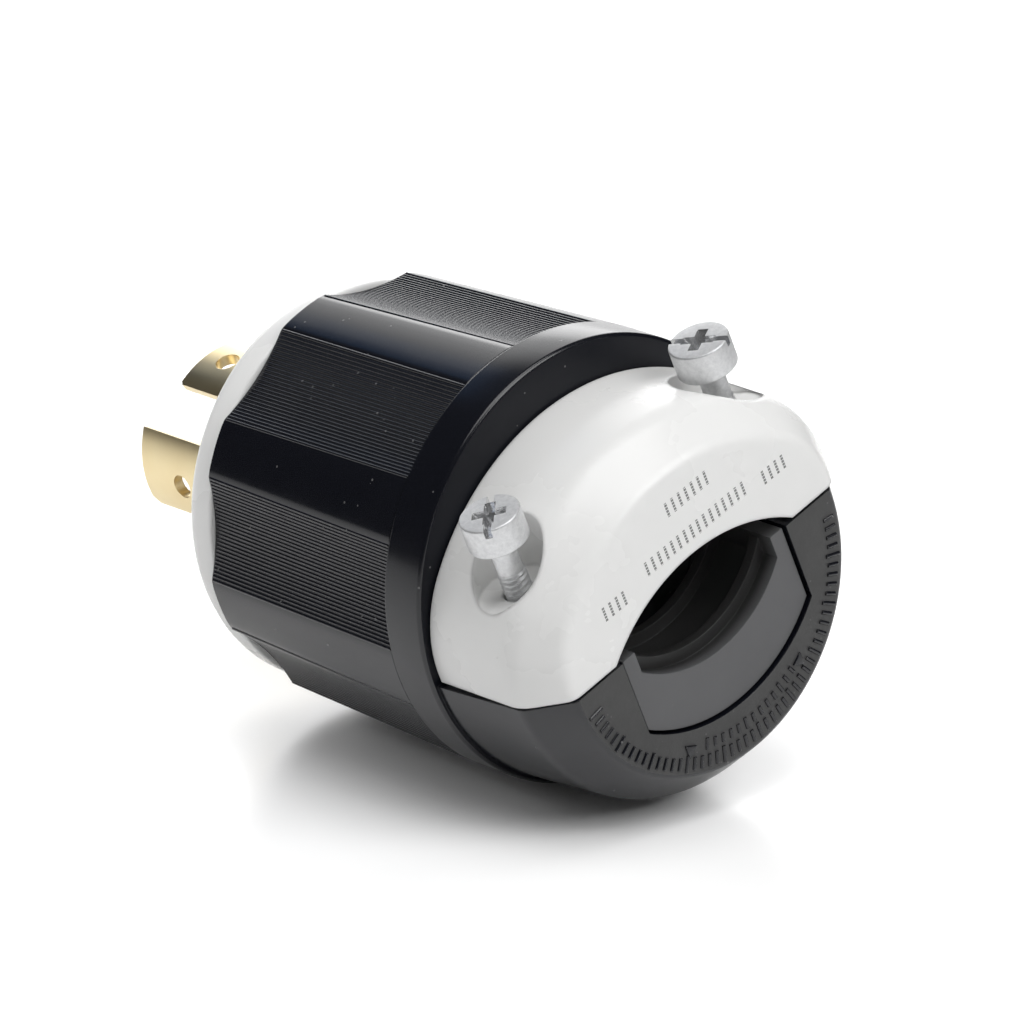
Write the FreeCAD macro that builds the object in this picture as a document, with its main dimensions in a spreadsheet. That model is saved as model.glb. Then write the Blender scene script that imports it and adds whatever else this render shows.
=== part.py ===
import FreeCAD, Part
import math
import os
import Sketcher
from FreeCAD import Placement, Rotation, Vector

# A four-pole locking power plug. The plug's axis is X: the mating face lies in the
# plane X = 0, the blades point to -X and the cable enters at +X. It lies on its side,
# +Z up, with one hollow of the fluted grip facing down.

DRIVING_SIZES = {
    # Turn of the clamp about the plug's axis, in degrees
    "clamp_roll": 22.5,
    # White front body that carries the blades
    "face_radius": 16.0,
    "face_step": 2.6,
    "flange_radius": 27.4,
    "flange_rear": 8.7,
    "flange_round": 3.5,
    "spigot_radius": 23.0,
    "spigot_rear": 32.0,
    "pocket_front": 12.0,
    "pocket_clearance": 0.3,
    "slot_clearance": 0.12,
    # Curved blades
    "blade_radius": 13.4,
    "blade_thickness": 1.5,
    "blade_arc_angle": 49.0,
    "blade_reach": 18.8,
    "long_blade_reach": 22.5,
    "blade_corner": 0.4,
    "long_blade_corner": 1.0,
    "long_blade_hole_shift": 1.0,
    "blade_hole_radius": 1.65,
    "blade_hole_place": 14.6,
    "hook_depth": 2.0,
    "tab_width": 10.0,
    "tab_rear": 28.0,
    "blade_angle_first": 87.5,
    "blade_angle_second": 166.5,
    "blade_angle_third": 260.0,
    "blade_angle_fourth": 354.0,
    # Wire terminals
    "terminal_place": 21.5,
    "plate_thickness": 1.4,
    "plate_length": 10.0,
    "plate_width": 9.0,
    "terminal_head_radius": 3.4,
    "terminal_head_height": 2.6,
    "terminal_shank_radius": 1.75,
    "terminal_shank_length": 5.2,
    "thread_clearance": 0.05,
    # Cover behind the terminals
    "cover_radius": 22.6,
    "cover_thickness": 3.0,
    "wire_hole_radius": 3.2,
    "wire_circle_radius": 16.6,
    "cover_screw_radius": 1.9,
    "cover_screw_head": 3.6,
    "cover_screw_head_height": 2.2,
    "cover_screw_length": 14.0,
    # Screws that hold the front body in the housing
    "assembly_circle_radius": 19.6,
    "assembly_angle_first": 40.7,
    "assembly_angle_second": 213.2,
    "assembly_radius": 1.75,
    "assembly_head_radius": 3.0,
    "assembly_head_height": 2.3,
    "assembly_head_sink": 0.4,
    "assembly_length": 38.0,
    "boss_radius": 4.0,
    "boss_gap": 0.3,
    "hole_clearance": 0.3,
    # Black housing: fluted grip, collar and lower half of the clamp
    "grip_front_radius": 28.5,
    "collar_radius": 30.0,
    "collar_front": 46.7,
    "collar_rear": 53.5,
    "collar_round": 0.8,
    "bore_clearance": 0.2,
    "rear_wall": 5.5,
    "scallop_count": 8,
    "scallop_half_angle": 14.75,
    "scallop_depth": 0.95,
    "entry_radius": 17.0,
    "clamp_step": 0.8,
    "clamp_draft": 0.9,
    "clamp_taper": 6.0,
    "clamp_taper_inset": 4.5,
    "clamp_rear": 75.2,
    "parting_height": 0.4,
    # White upper half of the clamp
    "parting_gap": 0.6,
    "clamp_seat_gap": 0.2,
    "jaw_side_step": 0.5,
    "jaw_crown_step": 5.4,
    "jaw_flank_radius": 17.0,
    "jaw_flank_start": 2.0,
    "jaw_inset": 4.4,
    "jaw_shoulder_round": 5.0,
    "jaw_rim_round": 2.0,
    "jaw_wall": 5.0,
    "jaw_cavity_half_width": 13.8,
    "jaw_cavity_height": 14.0,
    "jaw_cavity_shoulder": 7.0,
    "arch_half_width": 16.6,
    "arch_height": 7.0,
    # Clamp screws, backed out as supplied
    "clamp_screw_place": 64.7,
    "clamp_screw_inset": 9.7,
    "clamp_screw_radius": 2.0,
    "clamp_neck_radius": 1.8,
    "clamp_neck_length": 4.2,
    "clamp_head_radius": 4.2,
    "clamp_head_height": 4.4,
    "clamp_screw_length": 25.4,
    "clamp_screw_backed_out": 8.2,
    "recess_radius": 5.5,
    "recess_floor": 12.2,
    "nut_width": 8.6,
    "nut_thickness": 3.2,
    "nut_depth": 3.2,
    "nut_slot_room": 3.7,
    "nut_clearance": 0.15,
    # Shape of every screw head, and the cross in the clamp screws' heads
    "head_round": 0.5,
    "slot_width": 1.3,
    "slot_depth": 1.0,
    "cross_length": 4.6,
    "cross_depth": 2.0,
    "slot_angle_left": -50.5,
    "slot_angle_right": 22.9,
    # Removable insert for thin cables
    "insert_half_width": 15.0,
    "insert_top": 0.2,
    "insert_side": 10.8,
    "insert_bottom": 16.5,
    "insert_front": 61.5,
    "insert_recess": 0.8,
    "insert_clearance": 0.4,
    "insert_mouth_half_width": 12.8,
    "insert_mouth_side": 3.0,
    "insert_mouth_bottom": 8.4,
    "insert_rib_height": 1.7,
    "insert_rib_width": 1.5,
    "insert_rib_rear": 71.8,
    "insert_rib_front": 63.4,
    # Inward leg on the long blade's edge
    "hook_angle": 7.0,
    "hook_gap": 2.5,
}

SHEET = "Sizes"


class Size:
    """A length or angle that keeps its number and the sheet's formula together."""

    def __init__(self, value, text):
        self.value = float(value)
        self.text = text

    @staticmethod
    def of(other):
        if isinstance(other, Size):
            return other
        return Size(other, "({})".format(other))

    def join(self, other, sign, value):
        return Size(value, "({} {} {})".format(self.text, sign, Size.of(other).text))

    def __add__(self, other):
        return self.join(other, "+", self.value + Size.of(other).value)

    def __sub__(self, other):
        return self.join(other, "-", self.value - Size.of(other).value)

    def __mul__(self, other):
        return self.join(other, "*", self.value * Size.of(other).value)

    def __truediv__(self, other):
        return self.join(other, "/", self.value / Size.of(other).value)

    def __neg__(self):
        return Size(0, "0") - self


def sine(angle):
    return Size(math.sin(math.radians(angle.value)), "sin({})".format(angle.text))


def cosine(angle):
    return Size(math.cos(math.radians(angle.value)), "cos({})".format(angle.text))


def root(square):
    return Size(math.sqrt(square.value), "sqrt({})".format(square.text))


class Sizes:
    """The driving dimensions, read by name."""

    def __init__(self, document):
        sheet = document.addObject("Spreadsheet::Sheet", SHEET)
        for row, (name, value) in enumerate(DRIVING_SIZES.items(), start=1):
            sheet.set("A{}".format(row), name)
            sheet.set("B{}".format(row), str(value))
            sheet.setAlias("B{}".format(row), name)
            setattr(self, name, Size(value, "{}.{}".format(SHEET, name)))


doc = FreeCAD.newDocument("locking_plug")
S = Sizes(doc)
doc.recompute()

ZERO = Size(0, "0")
QUARTER = 90.0
X_AXIS = Vector(1, 0, 0)
Z_AXIS = Vector(0, 0, 1)
PAST = 2.0
TOUCH = 0.01

# Places that several pieces share
bore_radius = S.spigot_radius + S.bore_clearance
wall_front = S.collar_rear - S.rear_wall
cover_rear = S.spigot_rear + S.cover_thickness
blade_inner_radius = S.blade_radius - S.blade_thickness
plate_top = S.blade_radius + S.plate_thickness
boss_front = cover_rear + S.boss_gap
jaw_bottom = S.parting_height + S.parting_gap
jaw_front = S.collar_rear + S.clamp_seat_gap
clamp_root_radius = S.collar_radius - S.clamp_step
clamp_side_radius = clamp_root_radius - S.clamp_draft
taper_front = S.clamp_rear - S.clamp_taper
jaw_half_width = clamp_root_radius - S.jaw_side_step
jaw_height = clamp_root_radius - S.jaw_crown_step
insert_rear = S.clamp_rear - S.insert_recess
pocket_floor = S.insert_front - S.insert_clearance
screw_side = clamp_root_radius - S.clamp_screw_inset
nut_top = S.parting_height - S.nut_depth
head_seat = S.recess_floor + S.clamp_screw_backed_out
assembly_seat = S.face_step + S.assembly_head_sink + S.assembly_head_height
assembly_end = assembly_seat + S.assembly_length

TERMINAL_ANGLES = {
    "a": S.blade_angle_first,
    "b": S.blade_angle_second,
    "c": S.blade_angle_third,
    "d": S.blade_angle_fourth,
}
LONG_BLADE = "b"
ASSEMBLY_ANGLES = {"upper": S.assembly_angle_first, "lower": S.assembly_angle_second}
CLAMP_SIDES = {"left": -1, "right": 1}
SLOT_ANGLES = {"left": S.slot_angle_left, "right": S.slot_angle_right}


# Helpers for bodies, sketches and features

def new_body(name, turn=ZERO, at=(ZERO, ZERO, ZERO)):
    """A body turned about the plug's axis with the clamp, and by a further angle."""
    body = doc.addObject("PartDesign::Body", name)
    body.Label = name
    angle = S.clamp_roll + turn
    x, y, z = at
    base = {
        "x": Size.of(x),
        "y": y * cosine(angle) - z * sine(angle),
        "z": y * sine(angle) + z * cosine(angle),
    }
    place = Vector(base["x"].value, base["y"].value, base["z"].value)
    body.Placement = Placement(place, Rotation(X_AXIS, angle.value))
    body.setExpression("Placement.Rotation.Angle", angle.text)
    for letter, size in base.items():
        body.setExpression("Placement.Base." + letter, size.text)
    return body


def origin_part(body, role):
    return next(item for item in body.Origin.OriginFeatures if item.Role == role)


def new_sketch(body, plane, name, height=ZERO, turn=ZERO):
    """A sketch on one of the body's planes, turned about its X axis, then raised."""
    sketch = body.newObject("Sketcher::SketchObject", name)
    sketch.AttachmentSupport = (origin_part(body, plane), [""])
    sketch.MapMode = "FlatFace"
    base = {"y": ZERO - height * sine(turn), "z": height * cosine(turn)}
    place = Vector(0, base["y"].value, base["z"].value)
    sketch.AttachmentOffset = Placement(place, Rotation(X_AXIS, turn.value))
    sketch.setExpression("AttachmentOffset.Rotation.Angle", turn.text)
    for letter, size in base.items():
        sketch.setExpression("AttachmentOffset.Base." + letter, size.text)
    return sketch


def hold(sketch, constraint, size):
    """Adds a constraint and ties its value to the sheet."""
    index = sketch.addConstraint(constraint)
    sketch.setExpression("Constraints[{}]".format(index), size.text)


def pin_point(sketch, element, vertex, point):
    """Holds one point of a sketch at a place given by two sizes."""
    for kind, size in zip(("DistanceX", "DistanceY"), point):
        size = Size.of(size)
        hold(sketch, Sketcher.Constraint(kind, -1, 1, element, vertex, size.value), size)


def hold_radius(sketch, element, radius):
    hold(sketch, Sketcher.Constraint("Radius", element, radius.value), radius)


def arc_between(start, end, radius, side):
    """The shorter arc between two points; side is +1 where it passes left of the chord."""
    chord = end - start
    left = Vector(-chord.y, chord.x, 0).normalize()
    rise = math.sqrt(radius ** 2 - (chord.Length / 2) ** 2)
    centre = (start + end) * 0.5 - left * rise * side
    angles = [math.atan2(point.y - centre.y, point.x - centre.x) for point in (start, end)]
    if side > 0:
        angles.reverse()
    return Part.ArcOfCircle(Part.Circle(centre, Z_AXIS, radius), angles[0], angles[1])


def draw_outline(sketch, points, arcs=None):
    """A closed outline; arcs maps a side's number to its radius and its bulge's side."""
    arcs = arcs or {}
    places = [Vector(Size.of(x).value, Size.of(y).value, 0) for x, y in points]
    count = len(points)
    elements = []
    for number, start in enumerate(places):
        end = places[(number + 1) % count]
        if number in arcs:
            radius, side = arcs[number]
            shape = arc_between(start, end, radius.value, side)
        else:
            shape = Part.LineSegment(start, end)
        elements.append(sketch.addGeometry(shape, False))
    # An arc that passes left of its chord runs backwards in the sketch
    starts = [2 if number in arcs and arcs[number][1] > 0 else 1 for number in range(count)]
    for number, element in enumerate(elements):
        after = (number + 1) % count
        joint = (element, 3 - starts[number], elements[after], starts[after])
        sketch.addConstraint(Sketcher.Constraint("Coincident", *joint))
    for number, element in enumerate(elements):
        pin_point(sketch, element, starts[number], points[number])
        if number in arcs:
            hold_radius(sketch, element, arcs[number][0])


def draw_circle(sketch, centre, radius):
    place = Vector(Size.of(centre[0]).value, Size.of(centre[1]).value, 0)
    element = sketch.addGeometry(Part.Circle(place, Z_AXIS, radius.value), False)
    pin_point(sketch, element, 3, centre)
    hold_radius(sketch, element, radius)


def draw_rectangle(sketch, low, high):
    draw_outline(sketch, [low, (high[0], low[1]), high, (low[0], high[1])])


def finish_feature(body, feature):
    body.Tip = feature
    doc.recompute()
    return feature


def revolve(body, sketch, axis="H_Axis", cut=False):
    """Turns a section about its sketch's horizontal or vertical axis."""
    kind = "PartDesign::Groove" if cut else "PartDesign::Revolution"
    feature = body.newObject(kind, sketch.Name + "_turned")
    feature.Profile = sketch
    feature.ReferenceAxis = (sketch, [axis])
    feature.Angle = 360
    return finish_feature(body, feature)


def add_run(body, sketch, length, way=1):
    """Extrudes a sketch along its normal, or against it with way -1."""
    feature = body.newObject("PartDesign::Pad", sketch.Name + "_run")
    feature.Profile = sketch
    feature.Length = length.value
    feature.setExpression("Length", length.text)
    feature.Reversed = way < 0
    return finish_feature(body, feature)


def cut_run(body, sketch, length, way=-1):
    """Cuts along a sketch's normal with way 1, or against it with way -1."""
    feature = body.newObject("PartDesign::Pocket", sketch.Name + "_cut")
    feature.Profile = sketch
    feature.Length = length.value
    feature.setExpression("Length", length.text)
    feature.Reversed = way > 0
    return finish_feature(body, feature)


def loft(body, start, end, cut=False):
    kind = "PartDesign::SubtractiveLoft" if cut else "PartDesign::AdditiveLoft"
    feature = body.newObject(kind, start.Name + "_loft")
    feature.Profile = start
    feature.Sections = [end]
    return finish_feature(body, feature)


def repeat_round_axis(body, feature, count):
    pattern = body.newObject("PartDesign::PolarPattern", feature.Name + "_ring")
    pattern.Originals = [feature]
    pattern.Axis = (origin_part(body, "X_Axis"), [""])
    pattern.Angle = 360
    pattern.Occurrences = int(count.value)
    pattern.setExpression("Occurrences", count.text)
    return finish_feature(body, pattern)


def edges_where(feature, test):
    return [
        "Edge{}".format(number)
        for number, edge in enumerate(feature.Shape.Edges, start=1)
        if test(edge)
    ]


def dress(body, base, kind, size_name, edges, size):
    feature = body.newObject(kind, base.Name + "_" + size_name.lower())
    feature.Base = (base, edges)
    setattr(feature, size_name, size.value)
    feature.setExpression(size_name, size.text)
    return finish_feature(body, feature)


def round_edges(body, base, edges, radius):
    return dress(body, base, "PartDesign::Fillet", "Radius", edges, radius)


def bevel_edges(body, base, edges, size):
    return dress(body, base, "PartDesign::Chamfer", "Size", edges, size)


def near(value, size):
    return abs(value - size.value) < TOUCH


def is_ring(edge, radius, place):
    """True for a round edge about the plug's axis with this radius at this place."""
    box = edge.BoundBox
    round_edge = isinstance(edge.Curve, Part.Circle) and box.XLength < TOUCH
    return round_edge and near(edge.Curve.Radius, radius) and near(box.XMin, place)


def polar(radius, angle, across=ZERO):
    """A point at this radius and angle, moved sideways by a distance."""
    return (
        radius * cosine(angle) - across * sine(angle),
        radius * sine(angle) + across * cosine(angle),
    )


def draw_blade_section(sketch, middle, gap):
    """The curved section of one blade, grown all round by a gap."""
    edge = S.blade_arc_angle / 2
    outer = S.blade_radius + gap
    inner = blade_inner_radius - gap
    points = [
        polar(outer, middle - edge, -gap),
        polar(outer, middle + edge, gap),
        polar(inner, middle + edge, gap),
        polar(inner, middle - edge, -gap),
    ]
    reach_outer = root(outer * outer + gap * gap)
    reach_inner = root(inner * inner + gap * gap)
    draw_outline(sketch, points, {0: (reach_outer, -1), 2: (reach_inner, 1)})


# White front body, with a pocket for each terminal and a curved slot for each blade

def make_blade_body():
    body = new_body("blade_body")
    section = new_sketch(body, "XZ_Plane", "body_section")
    draw_outline(section, [
        (ZERO, ZERO),
        (ZERO, S.face_radius),
        (S.face_step, S.face_radius),
        (S.face_step, S.flange_radius),
        (S.flange_rear, S.flange_radius),
        (S.flange_rear, S.spigot_radius),
        (S.spigot_rear, S.spigot_radius),
        (S.spigot_rear, ZERO),
    ])
    turned = revolve(body, section)
    rim = edges_where(turned, lambda edge: is_ring(edge, S.flange_radius, S.face_step))
    round_edges(body, turned, rim, S.flange_round)

    floor = blade_inner_radius * cosine(S.blade_arc_angle / 2) - S.pocket_clearance
    half = S.blade_radius * sine(S.blade_arc_angle / 2) + S.pocket_clearance
    outside = S.spigot_radius + PAST
    pockets = new_sketch(body, "YZ_Plane", "terminal_pockets", S.spigot_rear)
    for angle in TERMINAL_ANGLES.values():
        draw_outline(pockets, [
            polar(floor, angle, -half),
            polar(outside, angle, -half),
            polar(outside, angle, half),
            polar(floor, angle, half),
        ])
    cut_run(body, pockets, S.spigot_rear - S.pocket_front)

    slots = new_sketch(body, "YZ_Plane", "blade_slots")
    for angle in TERMINAL_ANGLES.values():
        draw_blade_section(slots, angle, S.slot_clearance)
    cut_run(body, slots, S.pocket_front, way=1)

    shank = S.terminal_shank_radius + S.hole_clearance
    for letter, angle in TERMINAL_ANGLES.items():
        hole = new_sketch(body, "XY_Plane", "shank_hole_" + letter, floor, angle - QUARTER)
        draw_circle(hole, (S.terminal_place, ZERO), shank)
        cut_run(body, hole, floor - plate_top + S.terminal_shank_length + S.hole_clearance)

    screw_hole = new_sketch(body, "YZ_Plane", "cover_screw_hole", S.spigot_rear)
    draw_circle(screw_hole, (ZERO, ZERO), S.cover_screw_radius + S.thread_clearance)
    cut_run(body, screw_hole, S.cover_screw_length - S.cover_thickness + S.hole_clearance)

    through = new_sketch(body, "YZ_Plane", "assembly_holes", S.spigot_rear)
    sunk = new_sketch(body, "YZ_Plane", "assembly_head_recesses", S.face_step)
    for angle in ASSEMBLY_ANGLES.values():
        centre = polar(S.assembly_circle_radius, angle)
        draw_circle(through, centre, S.assembly_radius + S.hole_clearance)
        draw_circle(sunk, centre, S.assembly_head_radius + S.hole_clearance)
    cut_run(body, through, S.spigot_rear)
    cut_run(body, sunk, S.assembly_head_sink + S.assembly_head_height, way=1)
    return body


# Blades: a curved contact with bevelled tip corners and a flat terminal tab

def make_blade(letter):
    middle = TERMINAL_ANGLES[letter]
    is_long = letter == LONG_BLADE
    reach = S.long_blade_reach if is_long else S.blade_reach
    name = "blade_" + letter
    body = new_body(name, middle - QUARTER)
    upright = Size(QUARTER, "90")
    tab_front = S.pocket_front + S.pocket_clearance
    overlap = S.blade_thickness

    contact = new_sketch(body, "YZ_Plane", name + "_contact", ZERO - reach)
    draw_blade_section(contact, upright, ZERO)
    strip = add_run(body, contact, reach + tab_front + overlap)
    # The long blade keeps one sharp corner, on the side away from its leg
    corners = edges_where(strip, lambda edge: (
        isinstance(edge.Curve, Part.Line)
        and near(edge.BoundBox.XMax, ZERO - reach)
        and (not is_long or edge.BoundBox.YMax < 0)
    ))
    bevel_edges(body, strip, corners, S.long_blade_corner if is_long else S.blade_corner)

    if is_long:
        edge = upright - S.blade_arc_angle / 2
        side = edge + S.hook_angle
        deep = blade_inner_radius - S.hook_depth
        middle_radius = S.blade_radius - S.blade_thickness / 2
        hook = new_sketch(body, "YZ_Plane", name + "_hook", ZERO - reach)
        corners = [(middle_radius, side), (middle_radius, edge), (deep, edge), (deep, side)]
        draw_outline(hook, [polar(radius, angle) for radius, angle in corners])
        add_run(body, hook, reach - S.hook_gap)

    tab = new_sketch(body, "YZ_Plane", name + "_tab", tab_front)
    half = S.tab_width / 2
    draw_rectangle(tab, (-half, blade_inner_radius), (half, S.blade_radius))
    add_run(body, tab, S.tab_rear - tab_front)

    holes = new_sketch(body, "XY_Plane", name + "_holes", S.blade_radius + PAST)
    hole_shift = S.long_blade_hole_shift if is_long else ZERO
    draw_circle(holes, (-S.blade_hole_place, ZERO - hole_shift), S.blade_hole_radius)
    draw_circle(holes, (S.terminal_place, ZERO), S.terminal_shank_radius + S.thread_clearance)
    cut_run(body, holes, S.blade_thickness * 2 + PAST)
    return body


# Screws, turned about their own axis, with a round rim and a slot across the head

def draw_bar(sketch, half_length, half_width, angle):
    """A rectangle about the middle, turned by an angle."""
    draw_outline(sketch, [
        polar(-half_length, angle, -half_width),
        polar(half_length, angle, -half_width),
        polar(half_length, angle, half_width),
        polar(-half_length, angle, half_width),
    ])


def make_upright_screw(name, turn, at, seat, screw, slot_angle=ZERO):
    """A screw whose head sits at a height, with its axis on the body's Z axis."""
    head_radius, head_height, shank_radius, length = screw
    top = seat + head_height
    body = new_body(name, turn, at)
    section = new_sketch(body, "XZ_Plane", name + "_section")
    points = [
        (ZERO, seat - length),
        (shank_radius, seat - length),
        (shank_radius, seat),
        (head_radius, seat),
        (head_radius, top - S.head_round),
        (head_radius - S.head_round, top),
        (ZERO, top),
    ]
    draw_outline(section, points, {4: (S.head_round, -1)})
    revolve(body, section, "V_Axis")
    slot = new_sketch(body, "XY_Plane", name + "_slot", top)
    draw_bar(slot, head_radius + PAST, S.slot_width / 2, slot_angle)
    cut_run(body, slot, S.slot_depth)
    return body


def cut_neck(body, seat):
    """A plain neck under the head, thinner than the thread below it."""
    neck = new_sketch(body, "XZ_Plane", body.Label + "_neck")
    outside = S.clamp_screw_radius + PAST / 2
    low = seat - S.clamp_neck_length
    draw_rectangle(neck, (S.clamp_neck_radius, low), (outside, seat))
    revolve(body, neck, "V_Axis", cut=True)


def cut_cross(body, top, angle):
    """A cross recess in the middle of a slotted head, with one arm along the slot."""
    for name, turn in (("along", angle), ("across", angle + QUARTER)):
        arm = new_sketch(body, "XY_Plane", body.Label + "_cross_" + name, top)
        draw_bar(arm, S.cross_length / 2, S.slot_width / 2, turn)
        cut_run(body, arm, S.cross_depth)


def make_lying_screw(name, turn, at, seat, way, screw):
    """A screw along the plug's axis; way is the direction from its seat to its head."""
    head_radius, head_height, shank_radius, length = screw
    body = new_body(name, turn, at)
    section = new_sketch(body, "XZ_Plane", name + "_section")
    tip = seat - length * way
    top = seat + head_height * way
    points = [
        (tip, ZERO),
        (tip, shank_radius),
        (seat, shank_radius),
        (seat, head_radius),
        (top - S.head_round * way, head_radius),
        (top, head_radius - S.head_round),
        (top, ZERO),
    ]
    draw_outline(section, points, {4: (S.head_round, way)})
    revolve(body, section)
    slot = new_sketch(body, "YZ_Plane", name + "_slot", top)
    half = S.slot_width / 2
    end = head_radius + PAST
    draw_rectangle(slot, (-end, -half), (end, half))
    cut_run(body, slot, S.slot_depth, way=-way)
    return body


def make_terminal_screw(letter):
    screw = (
        S.terminal_head_radius,
        S.terminal_head_height,
        S.terminal_shank_radius,
        S.terminal_shank_length,
    )
    turn = TERMINAL_ANGLES[letter] - QUARTER
    at = (S.terminal_place, ZERO, ZERO)
    return make_upright_screw("terminal_screw_" + letter, turn, at, plate_top, screw)


def make_pressure_plate(letter):
    name = "pressure_plate_" + letter
    body = new_body(name, TERMINAL_ANGLES[letter] - QUARTER)
    outline = new_sketch(body, "XY_Plane", name + "_outline", S.blade_radius)
    length = S.plate_length / 2
    width = S.plate_width / 2
    draw_rectangle(
        outline,
        (S.terminal_place - length, -width),
        (S.terminal_place + length, width),
    )
    draw_circle(outline, (S.terminal_place, ZERO), S.terminal_shank_radius + S.hole_clearance)
    add_run(body, outline, S.plate_thickness)
    return body


# Cover behind the terminals, with its screw

def make_terminal_cover():
    body = new_body("terminal_cover")
    disc = new_sketch(body, "YZ_Plane", "cover_disc", S.spigot_rear)
    draw_circle(disc, (ZERO, ZERO), S.cover_radius)
    add_run(body, disc, S.cover_thickness)
    holes = new_sketch(body, "YZ_Plane", "cover_holes", cover_rear)
    draw_circle(holes, (ZERO, ZERO), S.cover_screw_radius + S.hole_clearance)
    for angle in TERMINAL_ANGLES.values():
        draw_circle(holes, polar(S.wire_circle_radius, angle), S.wire_hole_radius)
    for angle in ASSEMBLY_ANGLES.values():
        draw_circle(
            holes,
            polar(S.assembly_circle_radius, angle),
            S.assembly_radius + S.hole_clearance,
        )
    cut_run(body, holes, S.cover_thickness)
    return body


def make_cover_screw():
    screw = (
        S.cover_screw_head,
        S.cover_screw_head_height,
        S.cover_screw_radius,
        S.cover_screw_length,
    )
    at = (ZERO, ZERO, ZERO)
    return make_lying_screw("cover_screw", ZERO, at, cover_rear, 1, screw)


def make_assembly_screw(side):
    screw = (
        S.assembly_head_radius,
        S.assembly_head_height,
        S.assembly_radius,
        S.assembly_length,
    )
    at = (ZERO, S.assembly_circle_radius, ZERO)
    turn = ASSEMBLY_ANGLES[side]
    return make_lying_screw("assembly_screw_" + side, turn, at, assembly_seat, -1, screw)


# Black housing: fluted grip, collar, rear wall and lower half of the clamp

def cut_scallops(body):
    """Shallow hollows round the grip, between narrow lands that taper up to the collar."""
    half_width = S.grip_front_radius * sine(S.scallop_half_angle)
    depth = S.scallop_depth
    radius = (half_width * half_width + depth * depth) / (depth * 2)
    floor = S.grip_front_radius * cosine(S.scallop_half_angle) - depth
    rise = S.collar_radius - S.grip_front_radius
    angle = Size(180, "180") / S.scallop_count
    front = new_sketch(body, "YZ_Plane", "scallop_front", S.flange_rear)
    draw_circle(front, polar(floor + radius, angle), radius)
    rear = new_sketch(body, "YZ_Plane", "scallop_rear", S.collar_front)
    draw_circle(rear, polar(floor + radius + rise, angle), radius)
    scallop = loft(body, front, rear, cut=True)
    return repeat_round_axis(body, scallop, S.scallop_count)


def draw_insert_foot(sketch, gap, top):
    """The insert's outer outline, grown by a gap: straight sides and a round bottom."""
    half = S.insert_half_width + gap
    rise = S.insert_bottom - S.insert_side
    base = S.insert_half_width
    radius = (base * base + rise * rise) / (rise * 2)
    centre = radius - S.insert_bottom
    outer = radius + gap
    corner = centre - root(outer * outer - half * half)
    points = [(half, top), (-half, top), (-half, corner), (half, corner)]
    draw_outline(sketch, points, {2: (outer, -1)})


def make_housing():
    body = new_body("housing")
    section = new_sketch(body, "XZ_Plane", "shell_section")
    draw_outline(section, [
        (S.flange_rear, bore_radius),
        (S.flange_rear, S.grip_front_radius),
        (S.collar_front, S.collar_radius),
        (S.collar_rear, S.collar_radius),
        (S.collar_rear, S.entry_radius),
        (wall_front, S.entry_radius),
        (wall_front, bore_radius),
    ])
    shell = revolve(body, section)
    rim = edges_where(shell, lambda edge: is_ring(edge, S.collar_radius, S.collar_rear))
    round_edges(body, shell, rim, S.collar_round)
    cut_scallops(body)

    lower = new_sketch(body, "XZ_Plane", "clamp_section")
    draw_outline(lower, [
        (S.collar_rear, ZERO),
        (S.collar_rear, clamp_root_radius),
        (taper_front, clamp_side_radius),
        (S.clamp_rear, clamp_side_radius - S.clamp_taper_inset),
        (S.clamp_rear, ZERO),
    ])
    revolve(body, lower)
    channel = new_sketch(body, "XZ_Plane", "cable_channel")
    draw_outline(channel, [
        (wall_front - PAST, ZERO),
        (wall_front - PAST, S.entry_radius),
        (pocket_floor, S.entry_radius),
        (pocket_floor, ZERO),
    ])
    revolve(body, channel, cut=True)

    seat = new_sketch(body, "YZ_Plane", "insert_pocket", S.clamp_rear)
    draw_insert_foot(seat, S.insert_clearance, S.parting_height + PAST)
    cut_run(body, seat, S.clamp_rear - pocket_floor)

    above = new_sketch(body, "XY_Plane", "parting", S.parting_height)
    side = clamp_root_radius + PAST
    draw_rectangle(above, (S.collar_rear, -side), (S.clamp_rear + PAST, side))
    cut_run(body, above, side, way=1)

    nut_reach = S.nut_width / 2 + S.nut_clearance
    slot_inner = screw_side - S.nut_width / 2 - S.nut_slot_room
    holes = new_sketch(body, "XY_Plane", "clamp_screw_holes", S.parting_height)
    slots = new_sketch(body, "XY_Plane", "nut_slots", nut_top + S.nut_clearance)
    for way in CLAMP_SIDES.values():
        draw_circle(
            holes,
            (S.clamp_screw_place, screw_side * way),
            S.clamp_screw_radius + S.hole_clearance,
        )
        limits = sorted(
            (slot_inner * way, (screw_side + nut_reach) * way),
            key=lambda size: size.value,
        )
        draw_rectangle(
            slots,
            (S.clamp_screw_place - nut_reach, limits[0]),
            (S.clamp_screw_place + nut_reach, limits[1]),
        )
    cut_run(body, holes, S.clamp_screw_length - head_seat + S.parting_height + PAST)
    cut_run(body, slots, S.nut_thickness + S.nut_clearance * 2)

    bosses = new_sketch(body, "YZ_Plane", "assembly_bosses", wall_front + PAST)
    pilots = new_sketch(body, "YZ_Plane", "assembly_pilots", boss_front)
    for angle in ASSEMBLY_ANGLES.values():
        centre = polar(S.assembly_circle_radius, angle)
        draw_circle(bosses, centre, S.boss_radius)
        draw_circle(pilots, centre, S.assembly_radius + S.thread_clearance)
    add_run(body, bosses, wall_front + PAST - boss_front, way=-1)
    cut_run(body, pilots, assembly_end - boss_front + S.hole_clearance, way=1)
    return body


# White upper half of the clamp: a rounded hood over the cable with two screw recesses

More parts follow.
